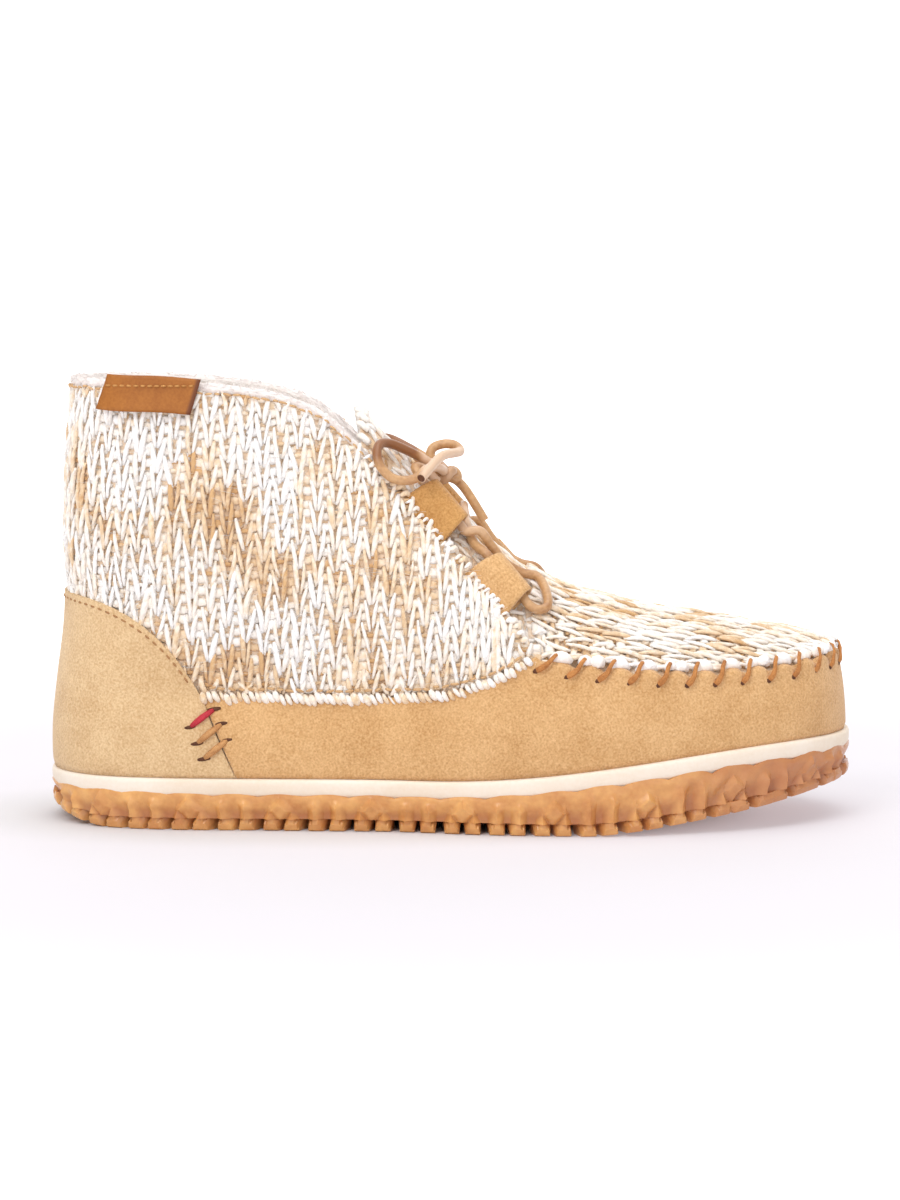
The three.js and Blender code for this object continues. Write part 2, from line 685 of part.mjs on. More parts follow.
// Knot, bows and cut ends.
const knot = solidOf(new THREE.SphereGeometry(KNOT.radius, 8, 6).translate(...knotCentre.toArray()));
const bow = (side) =>
  cord(
    [
      fromKnot(-3, side * 4.3, 2.8),
      onThroat(115.5, 117.6, side, -0.2),
      onThroat(109.5, 120.3, side, -0.2),
      onThroat(106.3, 119.8, side, 0.8),
      onThroat(104.6, 116.8, side, 2.2),
      onThroat(105.8, 112.4, side, 2.6),
      onThroat(109.5, 108.6, side, 2.8),
      onThroat(113.4, 107.4, side, 3.2),
      onThroat(116.4, 107.4, side, 4.6),
      fromKnot(-7.4, side * 18.4, 2.6),
      fromKnot(-4.8, side * 12.8, 3.4),
      fromKnot(-2.6, side * 8.4, 2.8),
    ],
    LACE_STEPS.bow,
  );
const endOuter = cord(
  [
    fromKnot(-3.6, 0.5, 4),
    fromKnot(-5.5, 1.2, 6),
    fromKnot(-4.9, 1.8, 8.4),
    fromKnot(-1.6, 2, 9.8),
    fromKnot(2, 1, 9.6),
    fromKnot(3.9, -2.4, 7.9),
    fromKnot(-2, -14.8, 6.9),
    fromKnot(-8.3, -26.4, 0.8),
  ],
  LACE_STEPS.endOuter,
);
const endInner = cord(
  [fromKnot(4.6, 0.8, -3.4), onRidge(133.8, 1.7), onRidge(140, -0.6)],
  LACE_STEPS.endInner,
);

const group = new THREE.Group();
const edges = turns.map((turn) => edgePoint(turn, 0).y);
group.position.set(-LENGTH / 2, -(Math.min(...edges) + Math.max(...edges)) / 2, 0);
function addPiece(name, solid, color, roughness) {
  const material = new THREE.MeshStandardMaterial({ color, roughness, metalness: 0 });
  const mesh = new THREE.Mesh(geometryOf(solid), material);
  mesh.name = name;
  group.add(mesh);
}
const KNIT_COLOUR = 0xeadccb;
const SUEDE_COLOUR = 0xc99a5b;
const LACE_COLOUR = 0x8a5a30;
const MATT = 0.95;
const SATIN = 0.6;
addPiece("upper", upper, KNIT_COLOUR, MATT);
addPiece("moccasin_wrap", wrap, SUEDE_COLOUR, MATT);
addPiece("heel_counter", counter, SUEDE_COLOUR, MATT);
addPiece("tongue", tongue, KNIT_COLOUR, MATT);
addPiece("insole", insole, 0xefe4da, MATT);
addPiece("midsole", midsole, 0xefe3d0, SATIN);
addPiece("outsole", outsole, 0xb9763c, SATIN);
addPiece("collar_tag", tag, 0xb06a22, SATIN);
for (const [name, solid] of Object.entries(tunnels)) {
  addPiece(name, solid, SUEDE_COLOUR, MATT);
}
addPiece("lace_run", laceRun, LACE_COLOUR, SATIN);
addPiece("lace_knot", knot, LACE_COLOUR, SATIN);
addPiece("lace_bow_outer", bow(-1), LACE_COLOUR, SATIN);
addPiece("lace_bow_inner", bow(1), LACE_COLOUR, SATIN);
addPiece("lace_end_outer", endOuter, LACE_COLOUR, SATIN);
addPiece("lace_end_inner", endInner, LACE_COLOUR, SATIN);

export default group;
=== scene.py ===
"""A slipper bootie for the right foot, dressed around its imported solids.

Points of the last are in millimetres: station forward from the heel, y to the inner side, height z.
"""
import math

import bmesh
import bpy
import numpy as np
from mathutils import Matrix, Vector


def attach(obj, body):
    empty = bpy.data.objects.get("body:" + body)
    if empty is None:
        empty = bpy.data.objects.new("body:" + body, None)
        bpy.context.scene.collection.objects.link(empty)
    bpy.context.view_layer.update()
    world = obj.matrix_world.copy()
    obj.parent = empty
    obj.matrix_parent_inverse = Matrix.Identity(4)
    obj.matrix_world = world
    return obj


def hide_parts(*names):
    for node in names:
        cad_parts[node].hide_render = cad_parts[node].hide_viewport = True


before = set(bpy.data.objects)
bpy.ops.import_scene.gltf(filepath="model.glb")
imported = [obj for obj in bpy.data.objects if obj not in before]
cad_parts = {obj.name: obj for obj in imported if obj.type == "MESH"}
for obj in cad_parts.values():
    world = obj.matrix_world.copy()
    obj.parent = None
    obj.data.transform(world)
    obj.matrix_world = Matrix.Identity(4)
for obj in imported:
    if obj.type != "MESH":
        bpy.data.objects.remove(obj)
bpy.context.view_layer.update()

# Outsole: one moulding of amber gum rubber, cemented under the cream band.
# Its scalloped lip laps up over the band. Pairs of small teeth run round its foot, with cut facets above.
MM = 0.001
SOLE_LENGTH = 258
HEEL_RADIUS = 33
TOE_RADIUS = 36
TOE_TIP_INWARD = 6
SIDE_SHIFT = 0.07
OUTER = -1
INNER = 1
LAST_TO_FRAME = Matrix.Scale(MM, 4) @ Matrix.Translation((-SOLE_LENGTH / 2, SIDE_SHIFT, 0))


def through(*rows):
    """Smooth curve through pairs of numbers, straight beyond its ends."""
    xs, ys = np.array(rows, float).T
    width = np.diff(xs)
    chord = np.diff(ys) / width
    slope = np.concatenate([chord[:1], chord[:-1], chord[-1:]])
    slope[1:-1] = (chord[:-1] * width[1:] + chord[1:] * width[:-1]) / (width[:-1] + width[1:])

    def curve(x):
        x = np.asarray(x, float)
        i = np.clip(np.searchsorted(xs, x, side="right") - 1, 0, len(width) - 1)
        t = np.clip((x - xs[i]) / width[i], 0, 1)
        u = 1 - t
        value = ys[i] * (1 + 2 * t) * u * u + ys[i + 1] * (3 - 2 * t) * t * t
        value = value + (slope[i] * u - slope[i + 1] * t) * width[i] * t * u
        return value + slope[0] * np.minimum(x - xs[0], 0) + slope[-1] * np.maximum(x - xs[-1], 0)

    return curve


def smooth(x, low, high):
    """Soft step from 0 at a low value to 1 at a high one."""
    t = np.clip((x - low) / (high - low), 0, 1)
    return t * t * (3 - 2 * t)


def blend(a, b, t):
    """Value between two others, by a share."""
    return a + (b - a) * t


def roundness(share):
    """Half width of an oval at a share of its length, 1 in the middle."""
    return 2 * np.sqrt(np.maximum(0, share * (1 - share)))


# Half widths of the sole: station, outer side and inner side.
SOLE_WIDTHS = [(38, 34.5, 33.5), (100, 38.5, 32.5), (165, 48.5, 45.5), (190, 47.5, 48.5), (225, 36.5, 43.5)]
fullness = through(
    (0, math.sqrt(HEEL_RADIUS * SOLE_LENGTH / 2)),
    *[(s / SOLE_LENGTH, (out + inn) / 2 / roundness(s / SOLE_LENGTH)) for s, out, inn in SOLE_WIDTHS],
    (1, math.sqrt(TOE_RADIUS * SOLE_LENGTH / 2)),
)
middle = through(
    (0, 0),
    *[(s / SOLE_LENGTH, (inn - out) / 2) for s, out, inn in SOLE_WIDTHS],
    (1, TOE_TIP_INWARD),
)


def sole_edge(share, side, inset, reach=1.0):
    """Station and y of the sole's edge, moved in by an inset and drawn to the middle line by a reach."""
    station = inset + (SOLE_LENGTH - 2 * inset) * share
    y = middle(share) + side * roundness(share) * (fullness(share) - inset) * reach
    return station, y


OUTSOLE_HEIGHT = 9.8
BAND_HEIGHT = 6.5
TOE_RISE = 11.4
TOE_RISE_SPAN = (121, 250)
TOE_SPRING = 13.4
TOE_SPRING_START = 172
HEEL_BEVEL = 5.5
HEEL_BEVEL_LENGTH = 20
LUG_DEPTH = 3.4


def joint_height(station):
    """Height of the joint between outsole and band."""
    return OUTSOLE_HEIGHT + TOE_RISE * smooth(station, *TOE_RISE_SPAN)


def band_top(station):
    """Height of the band's upper edge, where the upper starts."""
    return joint_height(station) + BAND_HEIGHT


def tread_height(station):
    """Height of the teeth's feet over the floor, risen at the toe and bevelled at the heel."""
    forward = (station - TOE_SPRING_START) / (SOLE_LENGTH - TOE_SPRING_START)
    toe = TOE_SPRING * np.maximum(0, forward) ** 1.3
    heel = HEEL_BEVEL * np.maximum(0, 1 - station / HEEL_BEVEL_LENGTH) ** 2
    return toe + heel


def walk_along(points):
    """Distance walked at each of a row of points."""
    return np.concatenate([[0], np.cumsum(np.linalg.norm(np.diff(points, axis=0), axis=-1))])


def edge_columns(count):
    """Columns round the sole at even steps, heel to toe and back: steps from the heel, length share, side."""
    fine = (1 - np.cos(np.linspace(0, np.pi, 2001))) / 2
    walked = walk_along(np.stack(sole_edge(fine, OUTER, 0), axis=-1))
    shares = np.interp(np.linspace(0, walked[-1], count + 1), walked, fine)
    column = np.arange(2 * count + 1)
    from_heel = count - np.abs(count - column)
    return from_heel, shares[from_heel], np.where(column <= count, OUTER, INNER)


def grid_shape(points, relief=None):
    """A bmesh grid laid on rows of points of the last. Doubled points are welded."""
    rows, columns, _ = points.shape
    shape = bmesh.new()
    shape.loops.layers.uv.new("UVMap")
    bmesh.ops.create_grid(shape, x_segments=columns - 1, y_segments=rows - 1, size=1, calc_uvs=True)
    for vertex, point in zip(shape.verts, points.reshape(-1, 3)):
        vertex.co = point
    if relief is not None:
        layer = shape.verts.layers.float.new("relief")
        for vertex, value in zip(shape.verts, relief.ravel()):
            vertex[layer] = value
    bmesh.ops.remove_doubles(shape, verts=shape.verts, dist=0.005)
    return shape


def placed(name, data, material):
    """Object of a mesh or a curve, riding on the one body."""
    made = bpy.data.objects.new(name, data)
    bpy.context.scene.collection.objects.link(made)
    data.materials.append(material)
    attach(made, "root")
    return made


def piece(name, shape, material, closed=True, sharp=None):
    """Object made of a bmesh, carried to the frame. A closed one has its faces turned outwards."""
    if closed:
        bmesh.ops.recalc_face_normals(shape, faces=shape.faces)
    bmesh.ops.transform(shape, matrix=LAST_TO_FRAME, verts=shape.verts)
    mesh = bpy.data.meshes.new(name)
    shape.to_mesh(mesh)
    shape.free()
    mesh.shade_smooth()
    if sharp is not None:
        mesh.set_sharp_from_angle(angle=math.radians(sharp))
    return placed(name, mesh, material)


def add_node(tree, kind, inputs=None, **settings):
    """New shader node. An input is given a value, or the socket that feeds it."""
    node = tree.nodes.new(kind)
    for name, value in settings.items():
        setattr(node, name, value)
    for name, value in (inputs or {}).items():
        if isinstance(value, bpy.types.NodeSocket):
            tree.links.new(value, node.inputs[name])
        else:
            node.inputs[name].default_value = value
    return node


def noise(tree, place, scale, detail):
    """Soft noise at a scale."""
    values = {"Vector": place, "Scale": scale, "Detail": detail}
    return add_node(tree, "ShaderNodeTexNoise", values).outputs["Fac"]


def ramp(tree, value, low, high, top=1.0, **settings):
    """Share that runs from 0 where a value is low to the top where it is high."""
    values = {"Value": value, "From Min": low, "From Max": high, "To Max": top}
    return add_node(tree, "ShaderNodeMapRange", values, **settings).outputs["Result"]


def mixed(tree, share, below, above):
    """Colour between two others, by a share."""
    return add_node(tree, "ShaderNodeMix", {0: share, 6: below, 7: above}, data_type="RGBA").outputs[2]


def axes(tree, coordinates):
    """The x, y and z of a kind of texture coordinates."""
    place = add_node(tree, "ShaderNodeTexCoord").outputs[coordinates]
    return add_node(tree, "ShaderNodeSeparateXYZ", {"Vector": place}).outputs


def tone(red, green, blue):
    """Linear colour of screen values from 0 to 255."""
    channels = [c / 255 for c in (red, green, blue)]
    return [c / 12.92 if c <= 0.04045 else ((c + 0.055) / 1.055) ** 2.4 for c in channels] + [1]


UNEVEN_SOCKETS = {
    "Light": "NodeSocketColor",
    "Dark": "NodeSocketColor",
    "Cloud Scale": "NodeSocketFloat",
    "Grain Scale": "NodeSocketFloat",
    "Grain Share": "NodeSocketFloat",
}


def uneven_group():
    """Shared effect: two tones in soft clouds and fine grains, with the grains as a height."""
    group = bpy.data.node_groups.new("uneven_tone", "ShaderNodeTree")
    for name, kind in UNEVEN_SOCKETS.items():
        group.interface.new_socket(name, in_out="INPUT", socket_type=kind)
    group.interface.new_socket("Color", in_out="OUTPUT", socket_type="NodeSocketColor")
    group.interface.new_socket("Height", in_out="OUTPUT", socket_type="NodeSocketFloat")
    given = group.nodes.new("NodeGroupInput").outputs
    place = add_node(group, "ShaderNodeTexCoord").outputs["Object"]
    cloud = noise(group, place, given["Cloud Scale"], 4.0)
    grain = noise(group, place, given["Grain Scale"], 3.0)
    both = add_node(group, "ShaderNodeMix", {"Factor": given["Grain Share"], "A": cloud, "B": grain})
    share = ramp(group, both.outputs["Result"], 0.34, 0.66)
    colour = mixed(group, share, given["Dark"], given["Light"])
    add_node(group, "NodeGroupOutput", {"Color": colour, "Height": grain})
    return group


UNEVEN = uneven_group()


def bump(tree, height, strength, depth):
    """Lets a height raise the finish."""
    node = add_node(tree, "ShaderNodeBump", {"Height": height, "Strength": strength, "Distance": depth})
    tree.links.new(node.outputs["Normal"], tree.nodes["Principled BSDF"].inputs["Normal"])


def finish_of(name, tones=None, grain_bump=None, **sockets):
    """Material with one principled shader, whose plain sockets are set here.

    Tones are light, dark, cloud scale, grain scale and grain share. The bump is strength and depth.
    """
    material = bpy.data.materials.new(name)
    material.use_nodes = True
    tree = material.node_tree
    shader = tree.nodes["Principled BSDF"]
    for socket, value in sockets.items():
        shader.inputs[socket.replace("_", " ").title()].default_value = value
    if tones is not None:
        uneven = add_node(tree, "ShaderNodeGroup", dict(zip(UNEVEN_SOCKETS, tones)), node_tree=UNEVEN)
        tree.links.new(uneven.outputs["Color"], shader.inputs["Base Color"])
        if grain_bump is not None:
            bump(tree, uneven.outputs["Height"], *grain_bump)
    return material


def tinted(material, share, colour):
    """Lays a colour over a finish by a share."""
    tree = material.node_tree
    base = tree.nodes["Principled BSDF"].inputs["Base Color"]
    tree.links.new(mixed(tree, share, base.links[0].from_socket, colour), base)


def gum():
    """Amber gum, browner at the toe, with painted shade in the hollows, where the relief attribute is 0."""
    material = finish_of(
        "amber_gum",
        tones=(tone(234, 176, 106), tone(198, 130, 72), 110.0, 420.0, 0.3),
        grain_bump=(0.25, 0.001),
        roughness=0.36,
        coat_weight=0.22,
        coat_roughness=0.25,
        subsurface_weight=0.08,
        subsurface_radius=(0.004, 0.002, 0.001),
    )
    tree = material.node_tree
    forward = axes(tree, "Object")["X"]
    tinted(material, ramp(tree, forward, 0.06, 0.1, 0.8), tone(190, 124, 80))
    relief = add_node(tree, "ShaderNodeAttribute", attribute_name="relief").outputs["Fac"]
    # Painted shade: the gaps between teeth and the low side between the facets are darkened.
    tinted(material, ramp(tree, relief, 1.0, 0.0, 0.7), tone(166, 98, 58))
    return material


TEETH = 42
TOOTH_STEPS = 14
EDGE_TO_LENGTH = 1.17
PAIR_GAP = (0.14, 0.22)
TOOTH_GAP = (0.05, 0.12)
PAIRS_JOIN = (205, 222)
RIM = 1.2
LIP = 1.4
HEEL_LIP = 1.0
TOE_LIP = 0.8
HEEL_SCALLOP = 0.5
TOE_SCALLOP = 0.85
HEEL_LUMPS = 0.25
TOE_LUMPS = 1.1
GEM = {"width": 5.2, "height": 4.4, "out": 3.4, "flat": 0.55, "rise": 0.36}
WEDGE = {"width": 2.7, "out": 2.5, "low": 0.4, "high": 0.85}
POINT = {"out": 2.6, "high": 0.6}
TREAD_INSET = 11
TOOTH_UNEVEN = 0.35
TIP_FADE = (0.12, 0.4)
SCALLOP_SPAN = (140, 230)
HEEL_LIP_SPAN = (20, 62)
TOE_LIP_SPAN = (235, 252)
LUMP_SPAN = (130, 235)
SIDE_FOOT_INSET = 1.9
SIDE_SWELL = 1.6
LIP_ROUNDING = 0.3
# Across the edge from the tread's inside: inset and rise of a tooth, then of the gap between teeth,
# and how much narrower the tooth is than at its foot.
TOOTH_PROFILE = [
    (TREAD_INSET, LUG_DEPTH, TREAD_INSET, LUG_DEPTH, 0),
    (9.3, LUG_DEPTH, 9.3, LUG_DEPTH, 0),
    (8.7, 0.6, 8.6, LUG_DEPTH, 0),
    (8.0, 0, 7.6, LUG_DEPTH, 0),
    (2.0, 0, 6.0, LUG_DEPTH, 0),
    (1.2, 0.3, 5.0, LUG_DEPTH, 0),
    (0.8, 0.9, 4.0, LUG_DEPTH, 0.01),
    (0.5, 2.2, 3.0, LUG_DEPTH + 0.1, 0.07),
    (0.9, LUG_DEPTH + 0.5, 2.2, LUG_DEPTH + 0.5, 0.2),
]
SIDE_RISES = np.linspace(0.05, 1, 22)

from_heel, edge_share, edge_side = edge_columns(TEETH * TOOTH_STEPS)
edge_station = SOLE_LENGTH * edge_share
tooth = from_heel / TOOTH_STEPS
pair_place = tooth - 2 * np.floor(tooth / 2) - 1
tooth_pitch = SOLE_LENGTH * EDGE_TO_LENGTH / TEETH
from_gap = np.abs(tooth - np.round(tooth))
within_pair = np.abs(pair_place) < 0.5
uneven_tooth = TOOTH_UNEVEN * np.sin(5.3 * np.floor(tooth))
tip = smooth(roundness(edge_share), *TIP_FADE)


def gap_share(narrowed):
    """1 in the gaps and 0 on the teeth, which are narrowed by a share of their pitch.

    Towards the toe the teeth of a pair run together.
    """
    beside = from_gap - narrowed
    clear = np.where(within_pair, smooth(beside, *TOOTH_GAP), smooth(beside, *PAIR_GAP))
    return (1 - clear) * np.where(within_pair, 1 - smooth(edge_station, *PAIRS_JOIN), 1)


scallop_depth = blend(HEEL_SCALLOP, TOE_SCALLOP, smooth(edge_station, *SCALLOP_SPAN))
hump = np.abs(np.cos(np.pi * pair_place / 2))
unequal = 1 + 0.45 * np.sin(1.9 * tooth) * np.sin(0.7 * tooth + 1)
lip_rise = LIP + HEEL_LIP * (1 - smooth(edge_station, *HEEL_LIP_SPAN))
lip_rise = lip_rise + TOE_LIP * smooth(edge_station, *TOE_LIP_SPAN)
lip_height = joint_height(edge_station) + lip_rise + scallop_depth * unequal * (2 * hump - 1)
lump_size = blend(HEEL_LUMPS, TOE_LUMPS, smooth(edge_station, *LUMP_SPAN))


def lumps(rise):
    """Soft unevenness of the moulding, stronger towards the toe."""
    wave = np.sin(2.3 * tooth + 4 * rise) * np.sin(1.1 * tooth - 5 * rise + 1)
    wave = wave + 0.6 * np.sin(4.1 * tooth - 7 * rise)
    return tip * lump_size * wave * np.sin(np.pi * np.minimum(rise, 0.94))


def sole_row(inset, height, reach=1.0):
    """A row of points round the sole, at an inset from its edge."""
    station, y = sole_edge(edge_share, edge_side, inset, reach)
    return np.stack(np.broadcast_arrays(station, y, height), axis=-1)


def facet_relief(rise):
    """How far the cut facets stand out at a share of the height from the teeth to the lip."""
    height = joint_height(edge_station) + LIP - tread_height(edge_station) - LUG_DEPTH
    gem = 1 - np.abs(pair_place) * tooth_pitch / GEM["width"]
    gem = gem - np.abs(rise - GEM["rise"]) * height / GEM["height"]
    gem = GEM["out"] * np.clip(gem, 0, GEM["flat"])
    wedge = 1 - np.abs(tooth - np.floor(tooth) - 0.5) * tooth_pitch / WEDGE["width"]
    point = POINT["out"] * np.clip(wedge - rise / POINT["high"], 0, 1)
    wedge = WEDGE["out"] * np.clip(wedge, 0, 1) * (1 - smooth(rise, WEDGE["low"], WEDGE["high"]))
    return tip * np.where(np.floor(tooth / 2) % 2 == 0, np.maximum(gem, point), wedge)


tooth_top = tread_height(edge_station) + LUG_DEPTH
tread_rows = [sole_row(TREAD_INSET, tooth_top, reach) for reach in (0, 0.25, 0.5, 0.75)]
# Relief: 1 where the gum stands out, 0 in the gaps and low between the facets, where it gets painted shade.
relief_rows = [np.ones_like(tooth)] * 4
for tooth_inset, tooth_rise, gap_inset, gap_rise, narrowed in TOOTH_PROFILE:
    gap = gap_share(narrowed)
    height = tread_height(edge_station) + blend(tooth_rise, gap_rise, gap)
    tread_rows.append(sole_row(blend(tooth_inset + uneven_tooth, gap_inset, gap), height))
    relief_rows.append(1 - gap)
for rise in SIDE_RISES:
    relief = facet_relief(rise)
    side_inset = SIDE_FOOT_INSET - SIDE_SWELL * smooth(rise, 0.15, 0.8) + LIP_ROUNDING * smooth(rise, 0.88, 1)
    tread_rows.append(sole_row(side_inset - relief - 0.5 * lumps(rise), blend(tooth_top, lip_height, rise)))
    relief_rows.append(np.maximum(np.clip(relief / 1.5, 0, 1), smooth(rise, 0.15, 0.6)))
tread_rows.append(sole_row(RIM, lip_height + 0.1))
tread_rows += [sole_row(RIM + 0.1, joint_height(edge_station) - 0.1, reach) for reach in (1, 0.6, 0.3, 0)]
relief_rows += [np.ones_like(tooth)] * 5
outsole_shape = grid_shape(np.array(tread_rows), np.array(relief_rows))

INNER_LUG_PITCH = 23
INNER_LUG_SIZE = 12.4
INNER_LUG_MARGIN = 20
INNER_LUG_BEVEL = 1.1
SHARP_FACETS = 22
for row in range(1, int(SOLE_LENGTH / INNER_LUG_PITCH) - 1):
    lug_station = (row + 0.5) * INNER_LUG_PITCH
    lug_share = lug_station / SOLE_LENGTH
    room = float(roundness(lug_share) * fullness(lug_share)) - INNER_LUG_MARGIN
    across = int(2 * room / INNER_LUG_PITCH)
    for k in range(across + 1):
        lug_y = float(middle(lug_share)) + (k - across / 2) * INNER_LUG_PITCH
        stand = Matrix.Translation((lug_station, lug_y, 0)) @ Matrix.Rotation(math.pi / 4, 4, "Z")
        made = bmesh.ops.create_cube(outsole_shape, size=1, matrix=stand @ Matrix.Scale(INNER_LUG_SIZE, 4))
        for vertex in made["verts"]:
            foot = float(tread_height(vertex.co.x))
            vertex.co.z = foot + (LUG_DEPTH + 0.5 if vertex.co.z > 0 else 0)
        bmesh.ops.bevel(
            outsole_shape,
            geom=list({edge for vertex in made["verts"] for edge in vertex.link_edges}),
            offset=INNER_LUG_BEVEL,
            affect="EDGES",
            segments=2,
            profile=0.5,
            material=-1,
        )
outsole = piece("gum_outsole", outsole_shape, gum(), sharp=SHARP_FACETS)
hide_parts("outsole")

# Midsole: a slab of cream foam rubber under the whole foot, cemented between upper and outsole.
# Its edge shows as a smooth band with a soft upper corner.
BAND_STEPS = 110
BAND_SEAT_INSET = 1.6
BAND_FACE_INSET = 1.9
# Inset of the band's side and its drop below the band's top, from the joint up.
BAND_PROFILE = [
    (1.5, 6.2), (1.45, 5.5), (0.9, 5.1), (0.55, 4.5), (0.4, 3.4),
    (0.3, 2.2), (0.35, 1.1), (0.6, 0.4), (1.1, 0.1), (BAND_FACE_INSET, 0),
]
_, edge_share, edge_side = edge_columns(BAND_STEPS)
edge_station = SOLE_LENGTH * edge_share
band_foot = joint_height(edge_station) + 0.1
band_rows = [sole_row(BAND_SEAT_INSET, band_foot, reach) for reach in (0, 0.4, 0.8, 1)]
band_rows += [sole_row(inset, band_top(edge_station) - drop) for inset, drop in BAND_PROFILE]
band_rows += [sole_row(BAND_FACE_INSET, band_top(edge_station), reach) for reach in (0.97, 0.6, 0.3, 0)]
CREAM_TONES = (tone(247, 235, 220), tone(238, 220, 198), 40.0, 900.0, 0.3)
CREAM_FOAM = finish_of("cream_foam", CREAM_TONES, (0.1, 0.0003), roughness=0.6)
midsole = piece("cream_midsole", grid_shape(np.array(band_rows)), CREAM_FOAM)
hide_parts("midsole")

# Insole: a foam sock covered with curly fleece, laid loose inside on the midsole.
# It follows the inside of the last, so the last's own form is worked out here.
SEAT_HEIGHT = 42
HEEL_SHAPING = 70
SHOULDER_TOE = 252.6
SHOULDER_INSET = 5.4
heel_back = through(
    (8, 1.2), (30, 1.0), (45, 2.6), (60, 4.6), (72, 6), (86, 4.9), (105, 5.4), (125, 6.6), (156, 10)
)
ridge = through(
    (0, 400), (50, 260), (80, 176), (95, 143), (105, 131), (120, 115.5), (135, 100), (147, 89), (158, 80.3),
    (170, 74.3), (183, 69.6), (195, 67), (209, 65), (225, 62.2), (240, 59.4), (249, 57), (252.6, 54.4),
)
shoulder = through(
    (0, 42), (60, 42), (110, 42.2), (135, 45), (150, 49.5),
    (165, 52.2), (185, 50.4), (205, 49.3), (230, 50.3), (254, 54),
)
squareness = through(
    (0, 3), (60, 2.6), (110, 2.1), (135, 1.85), (150, 1.6), (165, 1.25), (185, 1.08), (205, 1.05), (254, 1.05)
)
wall_inset = through((-0.3, 2), (0, 2), (0.3, 1.9), (0.65, 3), (1, SHOULDER_INSET))
wall_toe = through((-0.3, 256.3), (0, 256.3), (0.3, 256.1), (0.65, 255), (1, SHOULDER_TOE))
SHOULDER_REAR = float(heel_back(SEAT_HEIGHT))


def lean(z):
    """How much of the sole's curve is left in the middle line at a height."""
    return 1 - 0.6 * smooth(z, 50, 120)


def climbed(station, z):
    """Share of the way from the last's shoulder to its ridge."""
    return np.clip((z - shoulder(station)) / np.maximum(ridge(station) - shoulder(station), 0.1), 0, 1)


def shoulder_half(station):
    """Half width of the last at its shoulder."""
    share = np.clip((station - SHOULDER_REAR) / (SHOULDER_TOE - SHOULDER_REAR), 0, 1)
    return roundness(share) * (fullness(share) - SHOULDER_INSET)


def skin(angle, z):
    """Point on the last's face. The angle runs from the heel at 0 over the outer side to the toe at pi."""
    angle, z = np.broadcast_arrays(np.asarray(angle, float), np.asarray(z, float))
    share = (1 - np.cos(angle)) / 2
    base = blend(SHOULDER_REAR, SHOULDER_TOE, share)
    station = base
    for _ in range(4):
        low = band_top(station)
        rise = np.clip((z - low) / (shoulder(station) - low), -0.3, 1)
        rear = heel_back(blend(band_top(0), SEAT_HEIGHT, rise))
        on_wall = blend(rear, wall_toe(rise), share)
        behind = (heel_back(z) - SHOULDER_REAR) * (1 - smooth(station, 0, HEEL_SHAPING))
        station = np.where(z < shoulder(station), on_wall, base + behind)
    half = (fullness(share) - wall_inset(rise)) * np.sqrt(1 - climbed(station, z) ** squareness(station))
    above = smooth(z, shoulder(station) - 8, shoulder(station))
    line = blend(middle(share), middle(station / SOLE_LENGTH) * lean(z), above)
    return np.stack([station, line - np.sin(angle) * half, z], axis=-1)


def station_at(angle, z):
    """Station of the last's face at an angle and a height."""
    return skin(angle, z)[..., 0]


def foot_line(angle, near=20.0):
    """Height of the band's top below an angle of the last."""
    return band_top(station_at(angle, near))


def crown(station, y):
    """Point of the last's top face over a place in the plan view."""
    station, y = np.broadcast_arrays(np.asarray(station, float), np.asarray(y, float))
    half = np.maximum(shoulder_half(station), 0.01)
    z = ridge(station)
    for _ in range(4):
        across = np.clip((y - middle(station / SOLE_LENGTH) * lean(z)) / half, -1, 1)
        climb = (1 - across**2) ** (1 / squareness(station))
        z = blend(shoulder(station), ridge(station), climb)
    return np.stack([station, y, z], axis=-1)


def unit(vectors):
    """The same directions with a length of 1."""
    return vectors / np.maximum(np.linalg.norm(vectors, axis=-1, keepdims=True), 1e-12)


def lifted(surface, a, b, out):
    """Points at a distance out from a surface that is given by two coordinates."""
    step = 1e-3
    along = surface(a + step, b) - surface(a - step, b)
    up = surface(a, b + step) - surface(a, b - step)
    return surface(a, b) + np.asarray(out, float)[..., None] * unit(np.cross(along, up))


def angle_at(station, z):
    """Angle of the place on the outer side that lies at a station and a height."""
    low = np.zeros(np.broadcast(station, z).shape)
    high = low + np.pi
    for _ in range(40):
        half = (low + high) / 2
        short = station_at(half, z) < station
        low = np.where(short, half, low)
        high = np.where(short, high, half)
    return (low + high) / 2


def fleece(name, light, dark, strength):
    """Curly fleece in two tones."""
    tones = (light, dark, 260.0, 700.0, 0.4)
    return finish_of(name, tones, (strength, 0.0025), roughness=0.95, sheen_weight=0.4)


FLEECE = fleece("fleece", tone(250, 243, 238), tone(228, 214, 204), 0.7)
INSOLE_TOP = 5.3
# Underside and rim: distance inwards, lift over the band, and reach from the middle line.
INSOLE_RIM = [(4.2, 0.4, 0), (4.2, 0.4, 0.5), (4.2, 0.4, 1), (3.8, 1.5, 1), (3.8, 4.2, 1)]
# Upper face: reach from the middle line, and how much lower it lies.
INSOLE_FACE = [(0.97, 0.3), (0.9, 0), (0.6, 0), (0.3, 0), (0, 0)]
insole_angle = np.linspace(0, 2 * np.pi, 121)
insole_line = middle((1 - np.cos(insole_angle)) / 2)
insole_rows = []
for inwards, lift, reach in INSOLE_RIM:
    rim = lifted(skin, insole_angle, foot_line(insole_angle) + lift, -inwards)
    rim[:, 1] = blend(insole_line, rim[:, 1], reach)
    insole_rows.append(rim)
for reach, sunk in INSOLE_FACE:
    top = rim.copy()
    top[:, 1] = blend(insole_line, top[:, 1], reach)
    top[:, 2] = band_top(top[:, 0]) + INSOLE_TOP - sunk
    insole_rows.append(top)
insole = piece("fleece_insole", grid_shape(np.array(insole_rows)), FLEECE)
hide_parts("insole")

